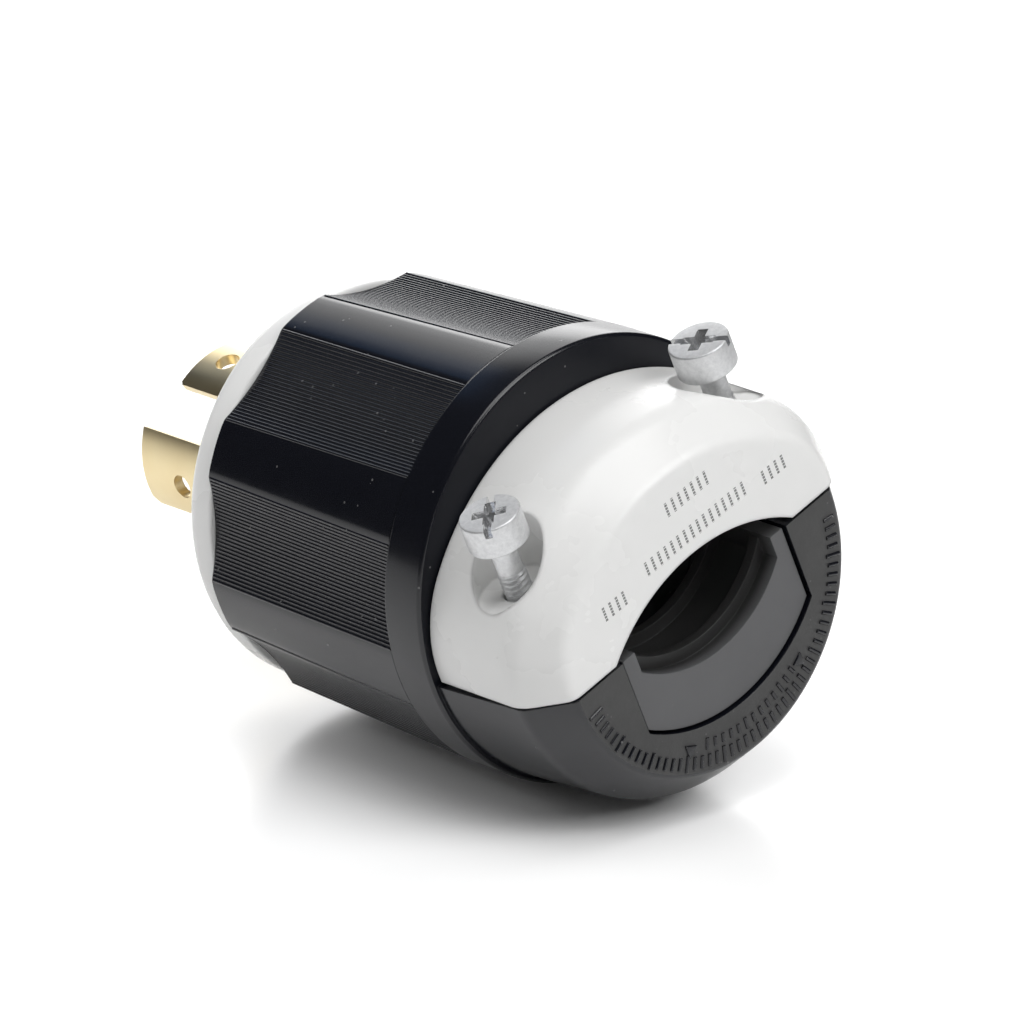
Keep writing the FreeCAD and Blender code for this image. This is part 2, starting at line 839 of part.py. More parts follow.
def draw_hood(sketch, inset):
    """The hood's section: upright sides, round flanks and a flatter crown, all tangent."""
    across = jaw_half_width - S.jaw_flank_radius
    height = jaw_height - S.jaw_flank_start
    flank = S.jaw_flank_radius
    crown = (across * across + height * height - flank * flank) / ((height - flank) * 2)
    crown_centre = jaw_height - crown
    share = (crown - inset) / (crown - flank)
    joint_across = across * share
    joint_height = crown_centre + (S.jaw_flank_start - crown_centre) * share
    half = jaw_half_width - inset
    points = [
        (half, jaw_bottom),
        (half, S.jaw_flank_start),
        (joint_across, joint_height),
        (-joint_across, joint_height),
        (-half, S.jaw_flank_start),
        (-half, jaw_bottom),
    ]
    arcs = {1: (flank - inset, -1), 2: (crown - inset, -1), 3: (flank - inset, -1)}
    draw_outline(sketch, points, arcs)


def draw_arch(sketch, half, foot, top):
    """A doorway outline: straight sides from below the parting, and a round head."""
    rise = top - foot
    radius = (half * half + rise * rise) / (rise * 2)
    low = jaw_bottom - PAST
    points = [(half, low), (half, foot), (-half, foot), (-half, low)]
    draw_outline(sketch, points, {1: (radius, -1)})


def round_hood_edge(body, hood, place, radius):
    """Rounds the hood's outer edge at one place along the axis, but not its flat bottom."""
    edges = edges_where(hood, lambda edge: (
        edge.BoundBox.XLength < TOUCH
        and near(edge.BoundBox.XMin, place)
        and edge.BoundBox.ZMax > jaw_bottom.value + TOUCH
    ))
    return round_edges(body, hood, edges, radius)


def make_cord_clamp():
    body = new_body("cord_clamp")
    front = new_sketch(body, "YZ_Plane", "hood_front", jaw_front)
    draw_hood(front, ZERO)
    add_run(body, front, taper_front - jaw_front)
    shoulder = new_sketch(body, "YZ_Plane", "hood_shoulder", taper_front)
    draw_hood(shoulder, ZERO)
    rear = new_sketch(body, "YZ_Plane", "hood_rear", S.clamp_rear)
    draw_hood(rear, S.jaw_inset)
    hood = loft(body, shoulder, rear)
    hood = round_hood_edge(body, hood, taper_front, S.jaw_shoulder_round)
    round_hood_edge(body, hood, S.clamp_rear, S.jaw_rim_round)

    cavity = new_sketch(body, "YZ_Plane", "hood_cavity", jaw_front)
    draw_arch(
        cavity,
        S.jaw_cavity_half_width,
        S.jaw_cavity_shoulder,
        S.jaw_cavity_height,
    )
    cut_run(body, cavity, S.clamp_rear - jaw_front - S.jaw_wall, way=1)
    arch = new_sketch(body, "YZ_Plane", "cable_arch", S.clamp_rear)
    draw_arch(arch, S.arch_half_width, jaw_bottom, S.arch_height)
    cut_run(body, arch, S.jaw_wall + PAST)

    recesses = new_sketch(body, "XY_Plane", "screw_recesses", S.recess_floor)
    holes = new_sketch(body, "XY_Plane", "hood_screw_holes", S.recess_floor)
    for way in CLAMP_SIDES.values():
        centre = (S.clamp_screw_place, screw_side * way)
        draw_circle(recesses, centre, S.recess_radius)
        draw_circle(holes, centre, S.clamp_screw_radius + S.hole_clearance)
    cut_run(body, recesses, jaw_height, way=1)
    cut_run(body, holes, S.recess_floor)
    return body


def make_clamp_screw(side):
    screw = (
        S.clamp_head_radius,
        S.clamp_head_height,
        S.clamp_screw_radius,
        S.clamp_screw_length,
    )
    at = (S.clamp_screw_place, screw_side * CLAMP_SIDES[side], ZERO)
    angle = SLOT_ANGLES[side]
    body = make_upright_screw("clamp_screw_" + side, ZERO, at, head_seat, screw, angle)
    cut_neck(body, head_seat)
    cut_cross(body, head_seat + S.clamp_head_height, angle)
    return body


def make_clamp_nut(side):
    name = "clamp_nut_" + side
    at = (S.clamp_screw_place, screw_side * CLAMP_SIDES[side], ZERO)
    body = new_body(name, ZERO, at)
    outline = new_sketch(body, "XY_Plane", name + "_outline", nut_top)
    half = S.nut_width / 2
    draw_rectangle(outline, (-half, -half), (half, half))
    draw_circle(outline, (ZERO, ZERO), S.clamp_screw_radius + S.thread_clearance)
    add_run(body, outline, S.nut_thickness, way=-1)
    return body


# Grey insert that narrows the opening for a thin cable

def make_clamp_insert():
    body = new_body("clamp_insert")
    length = insert_rear - S.insert_front
    outline = new_sketch(body, "YZ_Plane", "insert_outline", insert_rear)
    draw_insert_foot(outline, ZERO, S.insert_top)
    add_run(body, outline, length, way=-1)

    half = S.insert_mouth_half_width
    rise = S.insert_mouth_bottom - S.insert_mouth_side
    radius = (half * half + rise * rise) / (rise * 2)
    centre = radius - S.insert_mouth_bottom

    def side_height(reach):
        return centre - root(reach * reach - half * half)

    mouth = new_sketch(body, "YZ_Plane", "insert_mouth", insert_rear)
    top = S.insert_top + PAST
    side = side_height(radius)
    points = [(half, top), (-half, top), (-half, side), (half, side)]
    draw_outline(mouth, points, {2: (radius, -1)})
    cut_run(body, mouth, length)

    crest = radius - S.insert_rib_height
    buried = radius + S.insert_rib_height
    for name, rear in (("rear", S.insert_rib_rear), ("front", S.insert_rib_front)):
        rib = new_sketch(body, "YZ_Plane", "insert_rib_" + name, rear)
        high = side_height(crest)
        low = side_height(buried)
        points = [(-half, high), (half, high), (half, low), (-half, low)]
        draw_outline(rib, points, {0: (crest, -1), 2: (buried, 1)})
        add_run(body, rib, S.insert_rib_width, way=-1)
    return body


def make_pieces():
    pieces = [
        make_blade_body(),
        make_housing(),
        make_cord_clamp(),
        make_clamp_insert(),
        make_terminal_cover(),
        make_cover_screw(),
    ]
    for letter in TERMINAL_ANGLES:
        pieces.append(make_blade(letter))
        pieces.append(make_pressure_plate(letter))
        pieces.append(make_terminal_screw(letter))
    for side in ASSEMBLY_ANGLES:
        pieces.append(make_assembly_screw(side))
    for side in CLAMP_SIDES:
        pieces.append(make_clamp_screw(side))
        pieces.append(make_clamp_nut(side))
    return pieces


def check_and_export(pieces):
    doc.recompute()
    for item in doc.Objects:
        if "Invalid" in item.State or "Error" in item.State:
            raise RuntimeError("{} failed: {}".format(item.Label, item.State))
    for piece in pieces:
        shape = piece.Shape
        if shape.isNull() or not shape.isValid() or len(shape.Solids) != 1:
            raise RuntimeError("{} is not one valid solid".format(piece.Label))
    os.makedirs("parts", exist_ok=True)
    for piece in pieces:
        piece.Shape.exportStep(os.path.join("parts", piece.Label + ".step"))
        print(piece.Label, round(piece.Shape.Volume, 1), "mm3")


check_and_export(make_pieces())
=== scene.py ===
import math

import bmesh
import bpy
from mathutils import Matrix, Vector


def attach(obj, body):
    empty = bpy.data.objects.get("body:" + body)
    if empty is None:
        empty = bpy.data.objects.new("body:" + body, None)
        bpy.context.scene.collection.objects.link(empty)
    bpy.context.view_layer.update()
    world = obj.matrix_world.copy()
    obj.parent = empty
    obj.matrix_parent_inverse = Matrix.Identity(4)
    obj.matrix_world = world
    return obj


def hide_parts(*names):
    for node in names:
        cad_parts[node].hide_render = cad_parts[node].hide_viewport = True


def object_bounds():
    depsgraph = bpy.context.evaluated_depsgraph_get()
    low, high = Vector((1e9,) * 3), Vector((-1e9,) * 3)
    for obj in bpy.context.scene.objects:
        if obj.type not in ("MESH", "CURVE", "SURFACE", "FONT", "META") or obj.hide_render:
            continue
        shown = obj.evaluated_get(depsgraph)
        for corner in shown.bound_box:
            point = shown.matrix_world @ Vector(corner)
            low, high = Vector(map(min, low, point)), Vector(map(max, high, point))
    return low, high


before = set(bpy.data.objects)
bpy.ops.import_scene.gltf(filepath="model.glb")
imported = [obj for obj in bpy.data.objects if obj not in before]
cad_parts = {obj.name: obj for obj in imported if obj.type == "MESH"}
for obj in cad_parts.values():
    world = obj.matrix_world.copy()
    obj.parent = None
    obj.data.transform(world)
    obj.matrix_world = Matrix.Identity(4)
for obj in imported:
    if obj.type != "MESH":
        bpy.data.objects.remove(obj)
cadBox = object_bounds()
mm = 0.001
weld = 0.002  # mm: points nearer than this are one point

plug = {
    "clampRoll": 22.5,  # degrees that the clamp is turned about the plug's axis
    "collarRear": 53.5,
    "clampRear": 75.2,
    "parting": 0.4,
    "screwPlace": 64.7,
    "screwSide": 19.5,
    "foot": (15.0, 10.8, 16.5),  # the insert's half width, side and bottom, and its pocket's
    "beyond": 80.0,  # past the rear of every piece: cutters end here
}

# camera

view = {
    "place": (1017.45, -848.10, 434.33),  # mm
    "turn": (71.573, 1.203, 48.727),  # degrees
    "lens": 368.3,
    "sensor": 36.0,
}


def makeCamera():
    data = bpy.data.cameras.new("photoCamera")
    data.lens = view["lens"]
    data.sensor_width = view["sensor"]
    camera = bpy.data.objects.new("photoCamera", data)
    camera.location = Vector(view["place"]) * mm
    camera.rotation_euler = [math.radians(angle) for angle in view["turn"]]
    bpy.context.scene.collection.objects.link(camera)
    bpy.context.scene.camera = camera


makeCamera()
print("camera placed")


# shader helpers

class Link:
    # wraps a socket, so that sums and products on it add Math nodes

    def __init__(self, tree, socket):
        self.tree = tree
        self.socket = socket

    def maths(self, operation, *values):
        inputs = dict(enumerate(values))
        return self.tree.node("ShaderNodeMath", {"operation": operation}, inputs)

    def __add__(self, other):
        return self.maths("ADD", self, other)

    def __sub__(self, other):
        return self.maths("SUBTRACT", self, other)

    def __mul__(self, other):
        return self.maths("MULTIPLY", self, other)

    def __truediv__(self, other):
        return self.maths("DIVIDE", self, other)

    def __rsub__(self, other):
        return self.maths("SUBTRACT", other, self)

    __radd__ = __add__
    __rmul__ = __mul__

    def above(self, limit):
        return self.maths("GREATER_THAN", self, limit)

    def below(self, limit):
        return self.maths("LESS_THAN", self, limit)

    def part(self):
        # what is left of the value without its whole number
        return self.maths("FRACT", self)

    def held(self, low, high):
        raised = self.maths("MAXIMUM", self, low)
        return self.maths("MINIMUM", raised, high)

    def orElse(self, other):
        return self.maths("MAXIMUM", self, other)

    def near(self, middle, reach):
        # 1 where the value lies within reach of the middle
        return self.maths("COMPARE", self, middle, reach)


class Tree:
    # adds nodes to a tree: one call makes a node with its settings and inputs

    def __init__(self, tree):
        self.tree = tree
        self.tree.nodes.clear()

    def node(self, kind, settings=None, inputs=None, output=0):
        made = self.tree.nodes.new(kind)
        for name, value in (settings or {}).items():
            setattr(made, name, value)
        for key, value in (inputs or {}).items():
            if isinstance(value, Link):
                self.tree.links.new(value.socket, made.inputs[key])
            elif value is not None:
                made.inputs[key].default_value = value
        return Link(self, made.outputs[output])

    def end(self, kind, value):
        self.tree.links.new(value.socket, self.tree.nodes.new(kind).inputs[0])


class Finish(Tree):
    # a material and its nodes

    def __init__(self, name):
        self.material = bpy.data.materials.new(name)
        self.material.use_nodes = True
        super().__init__(self.material.node_tree)

    def place(self, scale=(1, 1, 1)):
        spot = self.node("ShaderNodeTexCoord", output="Object")
        if scale == (1, 1, 1):
            return spot
        return self.node("ShaderNodeMapping", {}, {"Vector": spot, "Scale": scale})

    def clampSpot(self):
        # across and up in the clamp's own turned frame, in mm, and the distance along the plug
        spot = self.node("ShaderNodeMapping", {}, {
            "Vector": self.place(), "Rotation": (-math.radians(plug["clampRoll"]), 0, 0),
        })
        parts = [
            self.node("ShaderNodeSeparateXYZ", {}, {0: spot}, output=axis) for axis in "YZX"
        ]
        return [part * (1 / mm) for part in parts]

    def noise(self, scale, detail=3.0, roughness=0.5, stretch=(1, 1, 1)):
        return self.node("ShaderNodeTexNoise", {}, {
            "Vector": self.place(stretch),
            "Scale": scale,
            "Detail": detail,
            "Roughness": roughness,
        })

    def specks(self, scale, size, patches=0.37, rarity=0.56):
        # small dots that come in patches
        near = self.node("ShaderNodeTexVoronoi", {}, {"Vector": self.place(), "Scale": scale})
        return near.below(size) * self.noise(scale * patches, 1.0).above(rarity)

    def blend(self, factor, first, second):
        # the numbers are the colour sockets of a Mix node
        return self.node("ShaderNodeMix", {"data_type": "RGBA"}, {
            0: factor, 6: first, 7: second,
        }, output=2)

    def bump(self, height, strength, distance, edge):
        # relief on the surface, and light that runs round the edges
        base = self.node("ShaderNodeBevel", {"samples": 6}, {"Radius": edge})
        return self.node("ShaderNodeBump", {}, {
            "Height": height, "Strength": strength, "Distance": distance, "Normal": base,
        })

    def surface(self, inputs):
        self.end("ShaderNodeOutputMaterial", self.node("ShaderNodeBsdfPrincipled", {}, inputs))
        return self.material

    def skin(self, look, colour, wear, relief, more=None):
        # a surface whose gloss varies with its wear
        least, spread = look["roughness"]
        return self.surface({
            "Base Color": colour,
            "Roughness": wear * spread + least,
            "Normal": self.bump(relief, *look["bump"]),
            **(more or {}),
        })


def grey(level):
    return (level, level, level, 1.0)


# In the looks below, cloud and grain give a noise's scale, detail and roughness,
# specks give the scale and size of dots, roughness gives the least value and its spread,
# and bump gives the strength, the depth in metres and the radius of the lit edges.

blackLook = {
    "colour": (0.0056, 0.0063, 0.0098, 1.0),
    "dust": grey(0.16),
    "dustShare": 0.7,
    "cloud": (90, 4.0, 0.6),
    "grain": (2600, 2.0),
    "specks": (520, 0.085),
    "grainHeight": 0.12,
    "dustHeight": 2.0,
    "bump": (0.10, 0.00005, 0.00022),
    "roughness": (0.11, 0.16),
    "specular": 0.60,
}
dullLook = {**blackLook, "roughness": (0.24, 0.16), "specular": 0.20}


def makeBlackNylon(name, look):
    finish = Finish(name)
    cloud = finish.noise(*look["cloud"])
    grain = finish.noise(*look["grain"])
    dust = finish.specks(*look["specks"])
    colour = finish.blend(dust * look["dustShare"], look["colour"], look["dust"])
    relief = grain * look["grainHeight"] + dust * look["dustHeight"]
    return finish.skin(look, colour, cloud, relief, {"Specular IOR Level": look["specular"]})


faceLook = {
    "colour": grey(0.040),
    "light": grey(0.12),
    "cloudShare": 0.35,
    "chipShare": 0.5,
    "cloud": (160, 3.0),
    "grain": (1500, 3.0, 0.6),
    "specks": (900, 0.12),
    "bump": (0.35, 0.00012, 0.00022),
    "roughness": (0.45, 0.2),
}


def makeBlackFace(name, look):
    finish = Finish(name)
    grain = finish.noise(*look["grain"])
    cloud = finish.noise(*look["cloud"])
    chips = finish.specks(*look["specks"])
    worn = cloud * look["cloudShare"] + chips * look["chipShare"]
    return finish.skin(look, finish.blend(worn, look["colour"], look["light"]), grain, grain)


whiteLook = {
    "colour": (0.89, 0.89, 0.88, 1.0),
    "shade": (0.85, 0.85, 0.84, 1.0),
    "cloud": (60, 4.0, 0.55),
    "grain": (1800, 2.0),
    "bump": (0.05, 0.00006, 0.0008),
    "roughness": (0.20, 0.14),
    "glow": 0.20,  # share of the light that goes under the skin, and how far it gets in metres
    "glowReach": 0.002,
    "print": grey(0.13),
    "printShare": 0.9,
    # rows of printed strokes on the clamp's rear face: middle across and up, half length
    "rows": ((-13.6, 8.5, 2.2), (2.0, 9.7, 9.4), (16.4, 8.9, 2.2), (2.6, 14.9, 4.0)),
    "strokePitch": 1.2,
    "strokeShare": 0.34,
    "strokeHalf": 1.05,
    "dotPitch": 0.44,
    "dotShare": 0.76,
    "shift": 100.0,  # whole pitches, so that no stroke is counted from a negative place
    "faceDepth": 0.1,
}


def makeWhiteNylon(name, look):
    finish = Finish(name)
    cloud = finish.noise(*look["cloud"])
    grain = finish.noise(*look["grain"])
    across, up, along = finish.clampSpot()
    inRows = 0.0
    for middle, height, half in look["rows"]:
        inRows = across.near(middle, half) * up.near(height, look["strokeHalf"]) + inRows
    beat = across * (1 / look["strokePitch"]) + look["shift"]
    dots = up * (1 / look["dotPitch"]) + look["shift"]
    stroke = beat.part().below(look["strokeShare"])
    dot = dots.part().below(look["dotShare"])
    onFace = along.above(plug["clampRear"] - look["faceDepth"])
    printed = inRows * stroke * dot * onFace * look["printShare"]
    plain = finish.blend(cloud, look["shade"], look["colour"])
    return finish.skin(look, finish.blend(printed, plain, look["print"]), cloud, grain, {
        "Subsurface Weight": look["glow"],
        "Subsurface Scale": look["glowReach"],
        "Subsurface Radius": (1.0, 1.0, 1.0),
    })


insertLook = {
    "colour": (0.088, 0.089, 0.093, 1.0),
    "light": (0.12, 0.121, 0.125, 1.0),
    "deep": grey(0.022),  # painted shade: the ribs inside the opening are darkened, more so deeper behind the rear face
    "deepStart": 0.8,  # where the painted shade starts, in mm behind the clamp's rear face, and how fast it darkens per mm
    "deepRate": 0.5,
    "cloud": (120, 4.0, 0.6),
    "grain": (2200, 2.0),
    "specks": (640, 0.07),
    "bump": (0.12, 0.00006, 0.00018),
    "roughness": (0.41, 0.12),
}


def makeInsertNylon(name, look):
    finish = Finish(name)
    cloud = finish.noise(*look["cloud"])
    grain = finish.noise(*look["grain"])
    chips = finish.specks(*look["specks"])
    along = finish.clampSpot()[2]
    # painted shade that darkens the insert deeper inside the opening
    inside = plug["clampRear"] - look["deepStart"] - along
    deep = (inside * look["deepRate"]).held(0.0, 1.0)
    outer = finish.blend(cloud + chips, look["colour"], look["light"])
    return finish.skin(look, finish.blend(deep, outer, look["deep"]), cloud, grain)


zincLook = {
    "dark": (0.48, 0.485, 0.495, 1.0),
    "light": (0.90, 0.905, 0.91, 1.0),
    "cloud": (1500, 4.0, 0.7),
    "grain": (2600, 3.0),
    "wornByGrain": False,
    "bump": (0.30, 0.00006, 0.00010),
    "roughness": (0.34, 0.2),
    "metal": 0.66,  # the plating's chalky film scatters some light
}
slotLook = {**zincLook, "roughness": (0.10, 0.2), "metal": 0.85}  # inside the driver slots
brassLook = {
    "dark": (0.80, 0.64, 0.36, 1.0),
    "light": (0.92, 0.80, 0.52, 1.0),
    "cloud": (110, 4.0, 0.6),
    "grain": (700, 3.0, 0.6, (0.06, 1, 1)),  # drawn out along the blade
    "wornByGrain": True,
    "bump": (0.10, 0.00004, 0.00014),
    "roughness": (0.24, 0.16),
    "metal": 1.0,
}


def makeMetal(name, look):
    finish = Finish(name)
    cloud = finish.noise(*look["cloud"])
    grain = finish.noise(*look["grain"])
    wear = grain if look["wornByGrain"] else cloud
    colour = finish.blend(cloud, look["dark"], look["light"])
    return finish.skin(look, colour, wear, grain, {"Metallic": look["metal"]})


# each look's material and the part's material slot that it stands for
looks = {
    "black": (makeBlackNylon("blackNylon", blackLook), "black_nylon"),
    "rim": (makeBlackNylon("blackNylonDull", dullLook), "black_nylon"),
    "face": (makeBlackFace("blackNylonTextured", faceLook), "black_nylon"),
    "white": (makeWhiteNylon("whiteNylon", whiteLook), "white_nylon"),
    "insert": (makeInsertNylon("insertNylon", insertLook), "grey_nylon"),
    "zinc": (makeMetal("zincPlate", zincLook), "zinc_steel"),
    "zincCut": (makeMetal("zincPlateBright", slotLook), "zinc_steel"),
    "brass": (makeMetal("bladeBrass", brassLook), "blade_brass"),
}
materials = {name: look[0] for name, look in looks.items()}
print("materials made")


# shape helpers: everything is drawn in mm, in the clamp's own turned frame

def arcPoints(centre, radius, start, stop, steps):
    points = []
    for number in range(steps + 1):
        angle = math.radians(start + (stop - start) * number / steps)
        across, up = radius * math.cos(angle), radius * math.sin(angle)
        points.append((centre[0] + across, centre[1] + up))
    return points


def arcRadius(half, rise):
    # radius of an arc that rises this much over half its chord
    return (half ** 2 + rise ** 2) / (2 * rise)


def bowl(half, side, bottom, wider, deeper, top):
    # an outline with straight sides and a round bottom, and the room given around it
    radius = arcRadius(half, bottom - side)
    half, outer = half + wider, radius + deeper
    edge = math.degrees(math.asin(half / outer))
    arc = arcPoints((0, radius - bottom), outer, -90 - edge, -90 + edge, 48)
    return [(half, top), (-half, top)] + arc


def softCorners(points, radii, steps=6):
    # an open line of points, with an arc of the given radius at each inner corner
    line = [points[0]]
    for before, corner, after, radius in zip(points, points[1:], points[2:], radii):
        a = (Vector(before) - Vector(corner)).normalized()
        b = (Vector(after) - Vector(corner)).normalized()
        half = a.angle(b) / 2
        if radius == 0 or abs(half - math.pi / 2) < 1e-4:
            line.append(corner)
            continue
        middle = Vector(corner) + (a + b).normalized() * (radius / math.sin(half))
        start = Vector(corner) + a * (radius / math.tan(half)) - middle
        stop = Vector(corner) + b * (radius / math.tan(half)) - middle
        turn = start.angle_signed(stop)
        for number in range(steps + 1):
            spin = Matrix.Rotation(-turn * number / steps, 2)
            line.append(tuple(middle + spin @ start))
    line.append(points[-1])
    return line


def ringsToMesh(rings, loop=False):
    # rings of equal length joined by quads; open ends are capped
    body = bmesh.new()
    rows = [[body.verts.new(point) for point in ring] for ring in rings]
    pairs = list(zip(rows, rows[1:]))
    if loop:
        pairs.append((rows[-1], rows[0]))
    for row, following in pairs:
        for number in range(len(row)):
            after = (number + 1) % len(row)
            body.faces.new((row[number], row[after], following[after], following[number]))
    if not loop:
        body.faces.new(list(reversed(rows[0])))
        body.faces.new(rows[-1])
    bmesh.ops.recalc_face_normals(body, faces=body.faces)
    return body


def toObject(body, name):
    mesh = bpy.data.meshes.new(name)
    body.to_mesh(mesh)
    body.free()
    made = bpy.data.objects.new(name, mesh)
    bpy.context.scene.collection.objects.link(made)
    return made


def circle(segments):
    return [2 * math.pi * number / segments for number in range(segments)]


def turned(profile, name, segments=192):
    # a profile of (x, radius) turned about the plug's axis
    rings = []
    for x, radius in profile:
        rings.append([
            Vector((x, radius * math.cos(angle), radius * math.sin(angle)))
            for angle in circle(segments)
        ])
    return toObject(ringsToMesh(rings), name)


def prism(outline, front, rear, name):
    # an outline of (across, up) run along the plug's axis
    rings = [[Vector((x, across, up)) for across, up in outline] for x in (front, rear)]
    return toObject(ringsToMesh(rings), name)


def upright(centre, radius, angle, height):
    return Vector((
        centre[0] + radius * math.cos(angle), centre[1] + radius * math.sin(angle), height,
    ))


def post(profile, centre, name, segments=64):
    # a profile of (radius, height) turned about an upright axis
    rings = []
    for radius, height in profile:
        rings.append([upright(centre, radius, angle, height) for angle in circle(segments)])
    return toObject(ringsToMesh(rings), name)


def bored(radius, low, high, centre, name, segments=64):
    # a round cutter from one height to another
    return post([(radius, low), (radius, high)], centre, name, segments)


def bar(centre, angle, ends, name):
    # an upright four-sided bar, turned by an angle: height, half length and half width per end
    spin = Matrix.Rotation(math.radians(angle), 2)
    rings = []
    for height, length, width in ends:
        corners = [
            spin @ Vector((along * length, across * width))
            for along, across in ((1, 1), (-1, 1), (-1, -1), (1, -1))
        ]
        rings.append([
            Vector((centre[0] + spot.x, centre[1] + spot.y, height)) for spot in corners
        ])
    return toObject(ringsToMesh(rings), name)


def block(low, high, name):
    outline = [(low[1], low[2]), (high[1], low[2]), (high[1], high[2]), (low[1], high[2])]
    return prism(outline, low[0], high[0], name)


def applied(made):
    # the object's evaluated shape takes the place of its mesh
    graph = bpy.context.evaluated_depsgraph_get()
    mesh = bpy.data.meshes.new_from_object(made.evaluated_get(graph))
    made.modifiers.clear()
    made.data = mesh


def carve(target, cutters, operation="DIFFERENCE"):
    for cutter in cutters:
        change = target.modifiers.new("carve", "BOOLEAN")
        change.operation = operation
        change.solver = "EXACT"
        change.object = cutter
    applied(target)
    for cutter in cutters:
        bpy.data.objects.remove(cutter)
    return target


def sealed(made):
    # closes the slivers that a cut can leave
    body = bmesh.new()
    body.from_mesh(made.data)
    bmesh.ops.remove_doubles(body, verts=body.verts, dist=weld)
    bmesh.ops.dissolve_degenerate(body, edges=body.edges, dist=weld / 2)
    rims = [edge for edge in body.edges if edge.is_boundary]
    bmesh.ops.holes_fill(body, edges=rims, sides=0)
    body.to_mesh(made.data)
    body.free()


def finishPiece(made, look, nodes=(), turn=None, sharp=28):
    # turns the piece into place, gives it its finish and fixes it to the plug
    sealed(made)
    angle = plug["clampRoll"] if turn is None else turn
    made.data.transform(Matrix.Rotation(math.radians(angle), 4, "X") @ Matrix.Scale(mm, 4))
    if not made.data.materials:
        made.data.materials.append(materials[look])
    made.data.shade_smooth()
    made.data.set_sharp_from_angle(angle=math.radians(sharp))
    made.data.update()
    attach(made, "root")
    if nodes:
        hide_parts(*nodes)


# black housing

grip = {
    "front": 8.7,
    "rear": 46.7,
    "frontRadius": 28.5,
    "collarRadius": 30.0,
    "scallops": 8,
    "halfAngle": 14.75,
    "depth": 0.95,
    "landSteps": 8,
    "scallopSteps": 40,
    "landDrop": 0.02,
    "crease": 0.10,
    "lip": 0.99,  # share of the front's radius
    "ringPlaces": (0.12, 0.4, 10, 20, 30),  # from the front
    "collarStep": (0.15, 0.2),  # along and out
    "collarRound": 0.55,
    "bore": 23.2,
    "wallFront": 48.0,
    "entry": 17.0,
}
halfClamp = {
    "root": 52.5,
    "rootRadius": 29.2,
    "sideRadius": 28.3,
    "faceRadius": 23.8,
    "faceDrop": 0.26,  # room for the raised marks
    "taper": 6.0,
    "shoulderRound": 3.0,
    "rimRound": 1.2,
    "roundSteps": 8,
    "coreRadius": 1.0,  # the channel takes the core away
    "faceInner": 10.0,
    "channel": 17.08,
    "channelFront": 40,
    "cutFront": 50,
    "cutReach": 40.0,
    "pocketFront": 61.1,
    "pocketGap": 0.4,
    "pocketTop": 4.0,
    "hole": (2.3, -16, 4),  # radius, low end, high end
    "nutHalf": 4.45,
    "nutTop": -2.65,
    "nutThick": 3.5,
    "nutInner": 11.5,
    "facing": 0.98,  # a face that looks straight back takes the finish of its surface
    "faceBand": 0.1,
}


def scallopCircle():
    # half the width of a hollow, its radius, and its floor's distance at the grip's front
    half = math.radians(grip["halfAngle"])
    width = grip["frontRadius"] * math.sin(half)
    floor = grip["frontRadius"] * math.cos(half) - grip["depth"]
    return width, arcRadius(width, grip["depth"]), floor


def flutedRing(x):
    # one ring of the fluted grip, with points kept at the edges of each hollow
    width, radius, floor = scallopCircle()
    share = (x - grip["front"]) / (grip["rear"] - grip["front"])
    rise = (grip["collarRadius"] - grip["frontRadius"]) * share
    crest = grip["frontRadius"] + rise - grip["landDrop"]
    distance = floor + radius + rise
    edge = math.acos((crest ** 2 + distance ** 2 - radius ** 2) / (2 * crest * distance))
    pitch = 2 * math.pi / grip["scallops"]
    hollow, land = grip["scallopSteps"], grip["landSteps"]
    spots = [edge * (2 * step / hollow - 1) for step in range(hollow)]
    spots += [edge + (pitch - 2 * edge) * step / land for step in range(land)]
    ring = []
    for number in range(grip["scallops"]):
        for away in spots:
            angle = pitch * (number + 0.5) + away
            inside = max(radius ** 2 - (distance * math.sin(away)) ** 2, 0)
            reach = distance * math.cos(away) - math.sqrt(inside)
            blur = math.log1p(math.exp(-abs(crest - reach) / grip["crease"]))
            soft = min(crest, reach) - grip["crease"] * blur
            ring.append(Vector((x, soft * math.cos(angle), soft * math.sin(angle))))
    return ring


def roundRing(x, radius, like):
    # a round ring with its points at the same angles as another ring
    ring = []
    for point in like:
        angle = math.atan2(point.z, point.y)
        ring.append(Vector((x, radius * math.cos(angle), radius * math.sin(angle))))
    return ring


def makeShell():
    # grip, collar and rear wall, down to the bore
    front, rear = grip["front"], grip["rear"]
    collar, collarRear = grip["collarRadius"], plug["collarRear"]
    along, out = grip["collarStep"]
    share = grip["lip"]
    lip = [Vector((point.x, point.y * share, point.z * share)) for point in flutedRing(front)]
    last = flutedRing(rear)
    rings = [lip] + [flutedRing(front + x) for x in grip["ringPlaces"]] + [last]
    edge = [(rear, collar - out), (rear + along, collar)]
    edge += softCorners(
        [(rear + 1, collar), (collarRear, collar), (collarRear, collar - 3)],
        [grip["collarRound"]],
    )
    edge += [(collarRear, grip["entry"]), (grip["wallFront"], grip["entry"])]
    edge += [(grip["wallFront"], grip["bore"]), (front, grip["bore"])]
    rings += [roundRing(x, radius, last) for x, radius in edge]
    return toObject(ringsToMesh(rings, loop=True), "housingShell")


